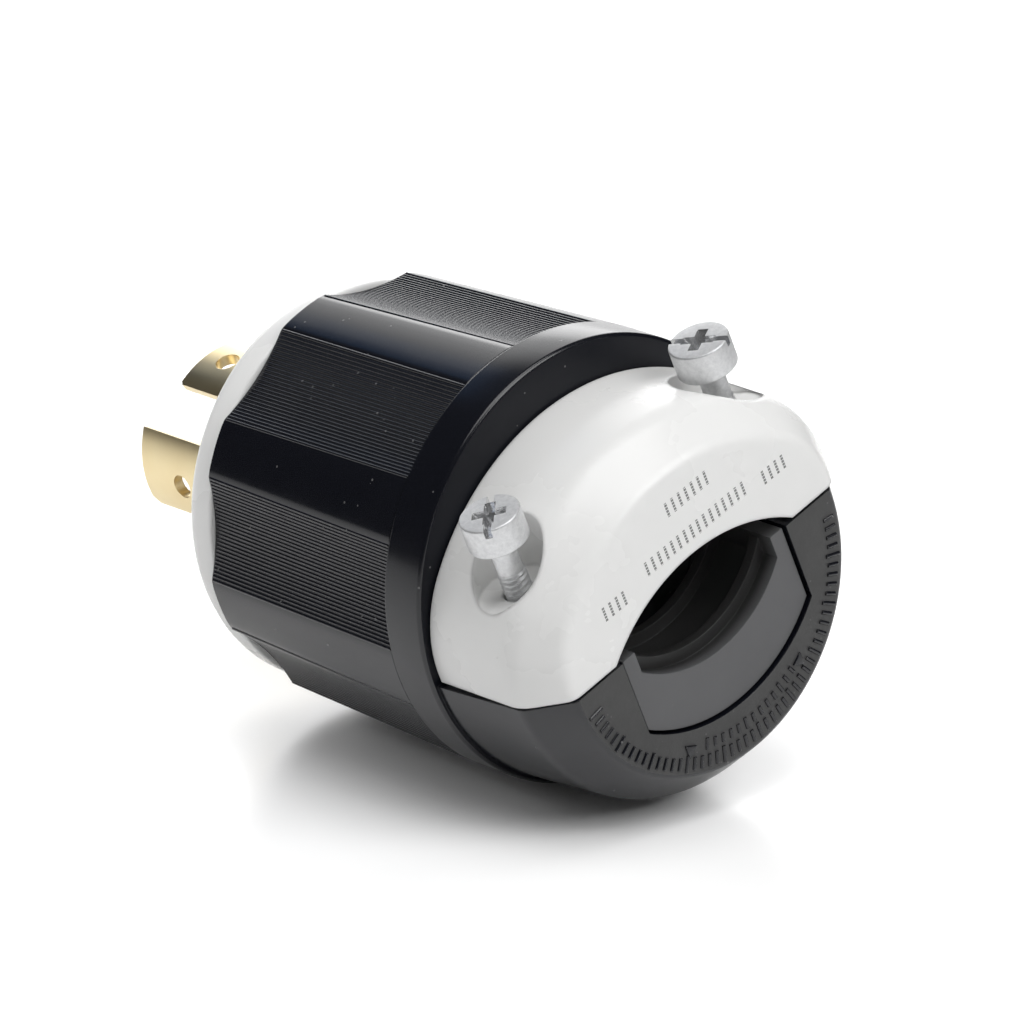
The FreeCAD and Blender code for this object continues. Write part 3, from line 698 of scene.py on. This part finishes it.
def makeHalf(rear):
    # the black half of the clamp, with its channel, pocket, screw holes and nut slots
    sizes = halfClamp
    profile = [(sizes["root"], sizes["coreRadius"]), (sizes["root"], sizes["rootRadius"])]
    profile += softCorners(
        [
            (plug["collarRear"], sizes["rootRadius"]),
            (rear - sizes["taper"], sizes["sideRadius"]),
            (rear, sizes["faceRadius"]),
            (rear, sizes["faceInner"]),
        ],
        [sizes["shoulderRound"], sizes["rimRound"]],
        sizes["roundSteps"],
    )
    half = turned(profile + [(rear, sizes["coreRadius"])], "clampHalf")
    far, beyond = sizes["cutReach"], plug["beyond"]
    channel = [(x, sizes["channel"]) for x in (sizes["channelFront"], sizes["pocketFront"])]
    pocket = bowl(*plug["foot"], sizes["pocketGap"], sizes["pocketGap"], sizes["pocketTop"])
    cuts = [
        block((sizes["cutFront"], -far, plug["parting"]), (beyond, far, far), "above"),
        turned(channel, "channel"),
        prism(pocket, sizes["pocketFront"], beyond, "pocket"),
    ]
    for way in (-1, 1):
        place, middle = plug["screwPlace"], plug["screwSide"] * way
        cuts.append(bored(*sizes["hole"], (place, middle), "hole"))
        ends = sorted((sizes["nutInner"] * way, middle + sizes["nutHalf"] * way))
        cuts.append(block(
            (place - sizes["nutHalf"], ends[0], sizes["nutTop"] - sizes["nutThick"]),
            (place + sizes["nutHalf"], ends[1], sizes["nutTop"]),
            "nutSlot",
        ))
    return carve(half, cuts)


def makeHousing():
    rear = plug["clampRear"] - halfClamp["faceDrop"]
    shell = makeShell()
    carve(shell, [makeHalf(rear)], "UNION")
    for look in ("black", "face", "rim"):
        shell.data.materials.append(materials[look])
    band = halfClamp["faceBand"]
    for face in shell.data.polygons:
        if face.normal.x <= halfClamp["facing"]:
            continue
        if face.center.x > rear - band:
            face.material_index = 1
        elif abs(face.center.x - plug["collarRear"]) < band:
            face.material_index = 2
    finishPiece(shell, "black", ["housing"])


makeHousing()
print("housing made")


# fine ribs in the hollows of the grip, repeated by Geometry Nodes

ribs = {
    "perHollow": 28,
    "radius": 0.25,
    "buried": 0.10,
    "sides": 12,
    "front": 9.1,
    "rear": 46.68,
    "sharp": 40,
}


class Steps(Tree):
    # a Geometry Nodes tree with named inputs

    def __init__(self, name):
        super().__init__(bpy.data.node_groups.new(name, "GeometryNodeTree"))
        self.socket("Geometry", "OUTPUT", "NodeSocketGeometry")
        self.inputs = None

    def socket(self, name, side, kind):
        self.tree.interface.new_socket(name, in_out=side, socket_type=kind)

    def ask(self, names):
        kinds = {int: "NodeSocketInt", float: "NodeSocketFloat"}
        for name, value in names.items():
            self.socket(name, "INPUT", kinds[type(value)])
        self.inputs = self.tree.nodes.new("NodeGroupInput")

    def given(self, name):
        return Link(self, self.inputs.outputs[name])

    def xyz(self, x, y, z):
        return self.node("ShaderNodeCombineXYZ", {}, {"X": x, "Y": y, "Z": z})

    def rod(self):
        # a bar with the given sides, size and length
        return self.node("GeometryNodeMeshCylinder", {"fill_type": "NGON"}, {
            "Vertices": self.given("sides"),
            "Radius": self.given("size"),
            "Depth": self.given("length"),
        })

    def points(self, count):
        return self.node("GeometryNodeMeshLine", {}, {
            "Count": self.given(count), "Offset": (0.0, 0.0, 0.0),
        })

    def result(self, instances, look, values):
        # a plain mesh of the tree's instances
        real = self.node("GeometryNodeRealizeInstances", {}, {"Geometry": instances})
        self.end("NodeGroupOutput", self.node("GeometryNodeSetMaterial", {}, {
            "Geometry": real, "Material": materials[look],
        }))
        name = self.tree.name
        made = bpy.data.objects.new(name, bpy.data.meshes.new(name))
        bpy.context.scene.collection.objects.link(made)
        change = made.modifiers.new(name, "NODES")
        change.node_group = self.tree
        for item in self.tree.interface.items_tree:
            if item.in_out == "INPUT":
                change[item.identifier] = values[item.name]
        applied(made)
        made.data.materials.clear()
        return made


def makeRibs():
    width, radius, floor = scallopCircle()
    rise = grip["collarRadius"] - grip["frontRadius"]
    values = {
        "perHollow": ribs["perHollow"],
        "hollows": grip["scallops"],
        "radius": radius,
        "floor": floor,
        "size": ribs["radius"],
        "buried": ribs["buried"],
        "sides": ribs["sides"],
        "length": ribs["rear"] - ribs["front"],
        "slope": math.atan2(rise, grip["rear"] - grip["front"]),
        "step": 2 * math.asin(width / radius) / ribs["perHollow"],
        "front": ribs["front"],
    }
    steps = Steps("fineRibs")
    steps.ask(values)
    given = steps.given
    lying = steps.node("GeometryNodeTransform", {}, {
        "Geometry": steps.rod(),
        "Rotation": (0.0, math.pi / 2, 0.0),
        "Translation": steps.xyz(given("length") * 0.5, 0.0, given("buried") * -1.0),
    })
    number = steps.node("GeometryNodeInputIndex")
    angle = (number - (given("perHollow") - 1.0) * 0.5) * given("step")
    across = angle.maths("SINE", angle) * given("radius") * -1.0
    up = (1.0 - angle.maths("COSINE", angle)) * given("radius")
    spread = steps.node("GeometryNodeSetPosition", {}, {
        "Geometry": steps.points("perHollow"), "Position": steps.xyz(0.0, across, up),
    })
    placed = steps.node("GeometryNodeInstanceOnPoints", {}, {
        "Points": spread, "Instance": lying, "Rotation": steps.xyz(angle * -1.0, 0.0, 0.0),
    })
    panel = steps.node("GeometryNodeTransform", {}, {
        "Geometry": placed,
        "Rotation": steps.xyz(0.0, given("slope") * -1.0, 0.0),
        "Translation": steps.xyz(given("front"), 0.0, given("floor")),
    })
    hollow = steps.node("GeometryNodeInputIndex")
    turn = hollow * (2 * math.pi) / given("hollows")
    ring = steps.node("GeometryNodeInstanceOnPoints", {}, {
        "Points": steps.points("hollows"),
        "Instance": panel,
        "Rotation": steps.xyz(turn, 0.0, 0.0),
    })
    made = steps.result(ring, "black", values)
    finishPiece(made, "black", turn=0, sharp=ribs["sharp"])


makeRibs()
print("ribs made")


# raised strokes and pointers on the housing's rear face, in place of the moulded words

marks = {
    "rise": 0.255,
    "strokeRadius": 0.28,
    "sides": 12,
    # count, first angle, step, distance from the axis, length
    "outer": (50, -172.5, 3.36, 22.1, 1.7),
    "inner": (13, -113.0, 4.0, 19.8, 1.2),
    "longEvery": 5,
    "longMore": 0.35,
    "pointers": (-121.5, -60.5),
    "pointerPlace": 20.2,
    "pointerSize": 1.15,
    "pointerDeep": 0.5,
    "pointerBevel": 0.08,
    "sharp": 40,
}


def marksRear():
    return plug["clampRear"] - halfClamp["faceDrop"] + marks["rise"]


def makeStrokes(name, count, first, step, distance, length):
    values = {
        "count": count,
        "first": math.radians(first),
        "step": math.radians(step),
        "distance": distance,
        "length": length,
        "size": marks["strokeRadius"],
        "sides": marks["sides"],
        "longEvery": float(marks["longEvery"]),
        "longMore": marks["longMore"],
        "place": marksRear() - marks["strokeRadius"],
    }
    steps = Steps(name)
    steps.ask(values)
    given = steps.given
    lying = steps.node("GeometryNodeTransform", {}, {
        "Geometry": steps.rod(), "Rotation": (math.pi / 2, 0.0, 0.0),
    })
    number = steps.node("GeometryNodeInputIndex")
    angle = number * given("step") + given("first")
    across = angle.maths("COSINE", angle) * given("distance")
    up = angle.maths("SINE", angle) * given("distance")
    spread = steps.node("GeometryNodeSetPosition", {}, {
        "Geometry": steps.points("count"), "Position": steps.xyz(given("place"), across, up),
    })
    isLong = number.maths("MODULO", number, given("longEvery")).near(0.0, 0.5)
    placed = steps.node("GeometryNodeInstanceOnPoints", {}, {
        "Points": spread,
        "Instance": lying,
        "Rotation": steps.xyz(angle, 0.0, 0.0),
        "Scale": steps.xyz(1.0, isLong * given("longMore") + 1.0, 1.0),
    })
    made = steps.result(placed, "black", values)
    finishPiece(made, "black", sharp=marks["sharp"])


def makePointer(angle, name):
    # a small raised triangle that points outwards
    size = marks["pointerSize"]
    centre = Vector((marks["pointerPlace"], 0))
    spin = Matrix.Rotation(math.radians(angle), 2)
    outline = [
        tuple(spin @ (centre + Vector((size * math.cos(turn), size * math.sin(turn)))))
        for turn in circle(3)
    ]
    rear = marksRear()
    made = prism(outline, rear - marks["pointerDeep"], rear, name)
    soften = made.modifiers.new("soften", "BEVEL")
    soften.width = marks["pointerBevel"]
    soften.segments = 2
    applied(made)
    finishPiece(made, "black")


makeStrokes("outerStrokes", *marks["outer"])
makeStrokes("innerStrokes", *marks["inner"])
for number, angle in enumerate(marks["pointers"], 1):
    makePointer(angle, "pointer{}".format(number))
print("raised marks made")


# white hood of the cord clamp

hood = {
    "front": 53.7,
    "bottom": 1.0,
    "half": 28.7,
    "height": 23.8,
    "flank": 17.0,
    "flankStart": 2.0,
    "taper": 6.0,
    "inset": 4.4,
    "frontRound": 0.4,
    "shoulderRound": 6.0,
    "rimRound": 2.4,
    "roundSteps": 8,
    "frontFlat": 3.0,
    "rearFlat": 3.5,
    "wall": 5.0,
    # openings: half width, foot of the arc and top
    "cavity": (13.8, 7.0, 14.0),
    "arch": (16.6, 1.0, 7.0),
    "cavityFront": 50,
    "archStart": 2,
    "overcut": 3,  # how far an opening runs out below
    # radius, low end, high end
    "recess": (5.5, 12.2, 40),
    "recessSides": 96,
    "hole": (2.15, -4, 20),
}


def hoodSection(inset):
    # a crown arc that runs into a tighter arc on each flank
    flank, start = hood["flank"], hood["flankStart"]
    across = hood["half"] - flank
    height = hood["height"] - start
    crown = (across ** 2 + height ** 2 - flank ** 2) / (2 * (height - flank))
    centre = hood["height"] - crown
    joint = math.degrees(math.atan2(start - centre, across))
    right = arcPoints((across, start), flank - inset, 0, joint, 28)
    top = arcPoints((0, centre), crown - inset, joint, 180 - joint, 56)
    left = arcPoints((-across, start), flank - inset, 180 - joint, 180, 28)
    half = hood["half"] - inset
    return [(half, hood["bottom"])] + right + top[1:-1] + left + [(-half, hood["bottom"])]


def doorway(half, foot, top):
    # a round-topped opening that runs out below the hood
    radius = arcRadius(half, top - foot)
    edge = math.degrees(math.asin(min(half / radius, 1)))
    arc = arcPoints((0, top - radius), radius, 90 - edge, 90 + edge, 48)
    low = hood["bottom"] - hood["overcut"]
    return [(-half, low), (half, low)] + arc


def makeHood():
    rear = plug["clampRear"]
    line = softCorners(
        [
            (hood["front"], hood["frontFlat"]),
            (hood["front"], 0.0),
            (rear - hood["taper"], 0.0),
            (rear, hood["inset"]),
            (rear, hood["inset"] + hood["rearFlat"]),
        ],
        [hood["frontRound"], hood["shoulderRound"], hood["rimRound"]],
        hood["roundSteps"],
    )
    rings = [[Vector((x, u, v)) for u, v in hoodSection(inset)] for x, inset in line[1:-1]]
    made = toObject(ringsToMesh(rings), "clampHood")
    wallFront = rear - hood["wall"]
    archFront = wallFront - hood["archStart"]
    cuts = [
        prism(doorway(*hood["cavity"]), hood["cavityFront"], wallFront, "cavity"),
        prism(doorway(*hood["arch"]), archFront, plug["beyond"], "arch"),
    ]
    for way in (-1, 1):
        centre = (plug["screwPlace"], plug["screwSide"] * way)
        cuts.append(bored(*hood["recess"], centre, "recess", hood["recessSides"]))
        cuts.append(bored(*hood["hole"], centre, "hole"))
    carve(made, cuts)
    finishPiece(made, "white", ["cord_clamp"])


makeHood()
print("clamp hood made")


# grey insert

insert = {
    "front": 61.5,
    "rear": 74.4,
    "top": 0.2,
    "mouth": (12.8, 3.0, 8.4),  # half width, side and bottom
    "ribHeight": 1.7,
    "ribWidth": 1.5,
    "ribRears": (71.8, 63.4),
    "overcut": 1,
    "overTop": 3,
}


def makeInsert():
    foot = bowl(*plug["foot"], 0, 0, insert["top"])
    made = prism(foot, insert["front"], insert["rear"], "clampInsert")
    # the opening is cut in full between the ribs, and less deep where a rib stands
    high = insert["top"] + insert["overTop"]
    full = bowl(*insert["mouth"], 0, 0, high)
    ribbed = bowl(*insert["mouth"], 0, -insert["ribHeight"], high)
    stops = [insert["front"] - insert["overcut"]]
    for rear in reversed(insert["ribRears"]):
        stops += [rear - insert["ribWidth"], rear]
    stops.append(insert["rear"] + insert["overcut"])
    cuts = [prism(ribbed, stops[0], stops[-1], "mouth")]
    for start, stop in zip(stops[0::2], stops[1::2]):
        cuts.append(prism(full, start, stop, "between"))
    carve(made, cuts)
    finishPiece(made, "insert", ["clamp_insert"])


makeInsert()
print("insert made")


# clamp screws: combination head, plain neck and rolled thread

screw = {
    "seat": 20.4,
    "headRadius": 4.1,
    "headHeight": 4.34,
    "rimRound": 0.25,
    "rimSteps": 5,
    "headSides": 96,
    "neckRadius": 1.78,
    "neckLength": 4.2,
    "threadRadius": 1.96,
    "threadDepth": 0.3,
    "threadSides": 48,
    "ringsPerTurn": 8,
    "fadePerRing": 0.12,  # the thread fades out at both ends
    "tipShrink": 0.5,
    "topShrink": 0.2,
    "pitch": 0.8,
    "length": 25.4,
    "overlap": (0.3, 0.5),  # neck into thread and into head
    "slotReach": 8,
    "slotWidth": 1.0,
    "slotDepth": 1.1,
    "cross": (4.6, 1.5),  # length and width of its arms
    "crossDepths": (2.3, 2.3 * 0.96),
    "crossEnds": ((0.25, 1.15), (-1.0, 0.4)),  # place as a share of the depth, share of the size
    "cutEdge": 0.02,
    "turns": {"left": -47.5, "right": 27.5},
}


def threadRings(centre, bottom, top):
    # rings that climb with the thread, so that the crests run in a helix
    sides, perTurn, fading = screw["threadSides"], screw["ringsPerTurn"], screw["fadePerRing"]
    step = screw["pitch"] / perTurn
    count = int((top - bottom) / step)
    rings = []
    for number in range(count + 1):
        fromTip, fromTop = number * fading, (count - number) * fading
        fade = min(1.0, fromTip, fromTop)
        shrink = screw["tipShrink"] * max(0.0, 1 - fromTip)
        shrink += screw["topShrink"] * max(0.0, 1 - fromTop)
        ring = []
        for part, angle in enumerate(circle(sides)):
            phase = (number / perTurn - part / sides) % 1.0
            crest = 1 - abs(phase * 2 - 1)
            radius = screw["threadRadius"] - screw["threadDepth"] * (1 - crest) * fade - shrink
            ring.append(upright(centre, radius, angle, bottom + step * number))
        rings.append(ring)
    return rings


def makeRecess(centre, angle, top):
    # a driver slot and a cross with tapered arms
    half = screw["slotWidth"] / 2
    slot = [(height, screw["slotReach"], half) for height in (top - screw["slotDepth"], top + 1)]
    cuts = [bar(centre, angle, slot, "slot")]
    length, width = screw["cross"]
    for turn, depth in zip((0, 90), screw["crossDepths"]):
        cuts.append(bar(centre, angle + turn, [
            (top + depth * place, length * scale / 2, width * scale / 2)
            for place, scale in screw["crossEnds"]
        ], "arm"))
    return cuts


def makeClampScrew(side, way):
    centre = (plug["screwPlace"], plug["screwSide"] * way)
    seat, radius, rim = screw["seat"], screw["headRadius"], screw["rimRound"]
    top = seat + screw["headHeight"]
    outline = [(0.01, seat), (radius, seat), (radius, top), (0.01, top)]
    profile = softCorners(outline, [rim, rim], screw["rimSteps"])
    head = post(profile, centre, "clampScrew" + side.capitalize(), screw["headSides"])
    carve(head, makeRecess(centre, screw["turns"][side], top))
    bottom = seat - screw["neckLength"]
    below, above = screw["overlap"]
    neck = bored(screw["neckRadius"], bottom - below, seat + above, centre, "neck")
    rings = threadRings(centre, seat - screw["length"], bottom)
    carve(head, [neck, toObject(ringsToMesh(rings), "thread")], "UNION")
    sealed(head)
    for look in ("zinc", "zincCut"):
        head.data.materials.append(materials[look])
    for face in head.data.polygons:
        spot = Vector((face.center.x - centre[0], face.center.y - centre[1]))
        inside = spot.length < radius - rim - screw["cutEdge"]
        if inside and seat + above < face.center.z < top - screw["cutEdge"]:
            face.material_index = 1
    finishPiece(head, "zinc", ["clamp_screw_" + side])


for side, way in (("left", -1), ("right", 1)):
    makeClampScrew(side, way)
print("clamp screws made")


# brass blades

blade = {
    "radius": 13.4,
    "thick": 1.5,
    "span": 49.0,
    "reach": 18.8,
    "longReach": 22.5,
    "corner": 0.4,
    "longCorner": 1.0,
    "holePlace": 14.6,
    "longHoleShift": 1.0,
    "hookDepth": 2.0,
    "hookAngle": 7.0,
    "hookOverlap": 0.7,
    "legGap": 2.5,
    "angles": {"a": 87.5, "b": 166.5, "c": 260.0, "d": 354.0},
    "long": "b",
    "root": 13.8,
    "tabFront": 12.3,
    "tabRear": 28.0,
    "tabWidth": 10.0,
    "terminal": 21.5,
    # radius, low end, high end
    "hole": (1.65, 6, 20),
    "tap": (1.8, 6, 20),
    "cornerEnds": (4, 20),
    "overcut": 1,
}


def arcOutline(inner, outer, start, stop, steps=32):
    # a curved strip's section, with angles measured from the blade's middle
    front = arcPoints((0, 0), outer, 90 + start, 90 + stop, steps)
    back = arcPoints((0, 0), inner, 90 + stop, 90 + start, steps)
    return front + back


def makeBlade(letter):
    isLong = letter == blade["long"]
    reach = blade["longReach"] if isLong else blade["reach"]
    outer = blade["radius"]
    inner = outer - blade["thick"]
    half = blade["span"] / 2
    strip = arcOutline(inner, outer, -half, half)
    made = prism(strip, -reach, blade["root"], "blade" + letter.upper())
    width = blade["tabWidth"] / 2
    joins = [block((blade["tabFront"], -width, inner), (blade["tabRear"], width, outer), "tab")]
    if isLong:
        low, high = inner - blade["hookDepth"], inner + blade["hookOverlap"]
        leg = arcOutline(low, high, -half, blade["hookAngle"] - half, 6)
        joins.append(prism(leg, -reach, -blade["legGap"], "leg"))
    carve(made, joins, "UNION")
    middle = (-blade["holePlace"], -blade["longHoleShift"] if isLong else 0)
    hole = bored(*blade["hole"], middle, "hole")
    tap = bored(*blade["tap"], (blade["terminal"], 0), "tap")
    carve(made, [hole, tap])
    if isLong:
        bevelTip(made, reach, half, blade["longCorner"], (-1,))
    else:
        bevelTip(made, reach, half, blade["corner"], (-1, 1))
    angle = blade["angles"][letter] - 90 + plug["clampRoll"]
    finishPiece(made, "brass", ["blade_" + letter], turn=angle)


def bevelTip(made, reach, half, size, ways):
    # trims the corners at the tip; the long blade keeps one sharp
    edge = blade["radius"] * math.sin(math.radians(half))
    over = blade["overcut"]
    front, rear = -reach - over, -reach + size + over
    cuts = []
    for way in ways:
        near, far = way * (edge - size - over), way * (edge + over)
        corner = ((front, near), (rear, far), (front, far))
        rings = [[Vector((x, y, height)) for x, y in corner] for height in blade["cornerEnds"]]
        cuts.append(toObject(ringsToMesh(rings), "corner"))
    carve(made, cuts)


for letter in blade["angles"]:
    makeBlade(letter)
print("blades made")


# white front body

front = {
    "faceRadius": 16.0,
    "faceStep": 2.6,
    "flangeRadius": 27.4,
    "flangeRear": 8.7,
    "spigot": 23.0,
    "spigotRear": 32.0,
    "core": 0.2,
    "rounds": (0.5, 0.3, 3.5, 0.2, 0, 0.2),  # from the face's rim to the spigot's rear
    "roundSteps": 8,
    "pocketFront": 12.0,
    "pocketFloor": 10.5,
    "pocketHalf": 5.85,
    "pocketEnd": (40, 30),  # along and up
    "gap": 0.12,
    "shank": (2.05, 8, 30),  # radius, low end, high end
    "screwCircle": 19.6,
    "screwAngles": (40.7, 213.2),
    "screwHole": 2.05,
    "screwEnd": 40,
    "headHole": 3.3,
    "headDepth": 2.7,
    "holeSides": 48,
    "overcut": 1,
}


def bladeCutters(angle):
    # the slot, terminal pocket and screw hole of one blade
    inner = blade["radius"] - blade["thick"] - front["gap"]
    outer = blade["radius"] + front["gap"]
    half = blade["span"] / 2 + math.degrees(front["gap"] / blade["radius"])
    strip = arcOutline(inner, outer, -half, half)
    start, side = front["pocketFront"], front["pocketHalf"]
    end, top = front["pocketEnd"]
    cutters = [
        prism(strip, -front["overcut"], start + front["overcut"], "slot"),
        block((start, -side, front["pocketFloor"]), (end, side, top), "pocket"),
        bored(*front["shank"], (blade["terminal"], 0), "shank"),
    ]
    for cutter in cutters:
        cutter.data.transform(Matrix.Rotation(math.radians(angle - 90), 4, "X"))
    return cutters


def screwCutters(angle):
    # the hole of an assembly screw and the sink of its head
    centre = Matrix.Translation(Vector((0, front["screwCircle"], 0)))
    sinkEnd = front["faceStep"] + front["headDepth"]
    cutters = []
    for radius, end in ((front["screwHole"], front["screwEnd"]), (front["headHole"], sinkEnd)):
        profile = [(-front["overcut"], radius), (end, radius)]
        cutter = turned(profile, "screwHole", front["holeSides"])
        cutter.data.transform(Matrix.Rotation(math.radians(angle), 4, "X") @ centre)
        cutters.append(cutter)
    return cutters


def makeFrontBody():
    step, flange, spigot = front["faceStep"], front["flangeRadius"], front["spigot"]
    profile = softCorners(
        [
            (0.0, front["core"]),
            (0.0, front["faceRadius"]),
            (step, front["faceRadius"]),
            (step, flange),
            (front["flangeRear"], flange),
            (front["flangeRear"], spigot),
            (front["spigotRear"], spigot),
            (front["spigotRear"], front["core"]),
        ],
        front["rounds"],
        front["roundSteps"],
    )
    made = turned(profile, "frontBody")
    cuts = []
    for angle in blade["angles"].values():
        cuts += bladeCutters(angle)
    for angle in front["screwAngles"]:
        cuts += screwCutters(angle)
    carve(made, cuts)
    finishPiece(made, "white", ["blade_body"])


makeFrontBody()
print("front body made")


# the small solids inside keep their own shape

insideLooks = {
    "terminal_cover": "white",
    "cover_screw": "zinc",
    "pressure_plate": "brass",
    "terminal_screw": "zinc",
    "assembly_screw": "zinc",
    "clamp_nut": "zinc",
}
for name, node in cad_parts.items():
    for start, look in insideLooks.items():
        if name.startswith(start):
            node.data.materials.clear()
            node.data.materials.append(materials[look])
print("inner pieces finished")


# studio

studio = {
    "floorColour": 0.90,
    "floorGain": 0.28,  # added where the camera or a reflection sees it, so that it is white
    "floorRough": 0.22,
    "floorSpecular": 0.35,
    "floorRadius": 0.6,
    "brightSide": (-0.75, 0.58, 0.30),
    "brightEdge": (0.82, 0.97),
    "room": (0.03, 2.1),
    "fill": 0.26,
    "aim": (0.03, 0, 0),
    # where each one stands, its size, its watts, its tint and whether gloss shows it
    "lamps": {
        "keyLamp": ((0.25, -0.15, 1.25), (1.0, 1.0), 9.2, (1, 1, 1), True),
        "sideLamp": ((1.1, 0.3, 0.95), (0.8, 0.8), 8.6, (1, 1, 1), True),
        "fillLamp": ((-1.2, -0.45, 0.55), (0.7, 0.5), 5.2, (1, 1, 1), False),
        "backCard": ((-1.25, 0.98, 0.55), (1.3, 0.5), 3.6, (1, 1, 1), True),
        "blueCard": ((-1.0, 0.1, 0.92), (0.4, 0.25), 0.09, (0.25, 0.5, 1), True),
    },
}


def makeFloor():
    low = cadBox[0][2]
    body = bmesh.new()
    bmesh.ops.create_circle(body, cap_ends=True, segments=96, radius=studio["floorRadius"])
    bmesh.ops.translate(body, verts=body.verts, vec=(0, 0, low))
    made = toObject(body, "studioFloor")
    finish = Finish("studioWhite")
    camera = finish.node("ShaderNodeLightPath", output="Is Camera Ray")
    seen = camera.orElse(finish.node("ShaderNodeLightPath", output="Is Glossy Ray"))
    made.data.materials.append(finish.surface({
        "Base Color": seen * studio["floorGain"] + studio["floorColour"],
        "Roughness": studio["floorRough"],
        "Specular IOR Level": studio["floorSpecular"],
    }))


def makeWorld():
    world = bpy.data.worlds.new("studioWorld")
    bpy.context.scene.world = world
    world.use_nodes = True
    sky = Tree(world.node_tree)
    # reflections see a bright wall behind the plug and a dark room on the camera's side,
    # the camera sees plain white, and all else is lit by the fill
    way = sky.node("ShaderNodeTexCoord", output="Generated")
    toward = sky.node("ShaderNodeVectorMath", {"operation": "DOT_PRODUCT"}, {
        0: way, 1: Vector(studio["brightSide"]).normalized(),
    }, output="Value")
    room = sky.node("ShaderNodeMapRange", {"interpolation_type": "SMOOTHSTEP"}, {
        "Value": toward,
        "From Min": studio["brightEdge"][0],
        "From Max": studio["brightEdge"][1],
        "To Min": studio["room"][0],
        "To Max": studio["room"][1],
    })
    glossy = sky.node("ShaderNodeLightPath", output="Is Glossy Ray")
    camera = sky.node("ShaderNodeLightPath", output="Is Camera Ray")
    through = sky.node("ShaderNodeLightPath", output="Is Transmission Ray")
    lit = (room - studio["fill"]) * glossy + studio["fill"]
    strength = (1.0 - lit) * camera.orElse(through) + lit
    background = sky.node("ShaderNodeBackground", {}, {"Strength": strength})
    sky.end("ShaderNodeOutputWorld", background)


def makeLamps():
    aim = Vector(studio["aim"])
    for name, (place, size, watts, tint, inGloss) in studio["lamps"].items():
        data = bpy.data.lights.new(name, "AREA")
        data.shape = "RECTANGLE"
        data.size, data.size_y = size
        data.energy = watts
        data.color = tint
        lamp = bpy.data.objects.new(name, data)
        lamp.location = place
        lamp.visible_glossy = inGloss
        lamp.rotation_euler = (aim - lamp.location).to_track_quat("-Z", "Y").to_euler()
        bpy.context.scene.collection.objects.link(lamp)


makeFloor()
makeWorld()
makeLamps()
bpy.context.scene.view_settings.view_transform = "Standard"
print("studio made")
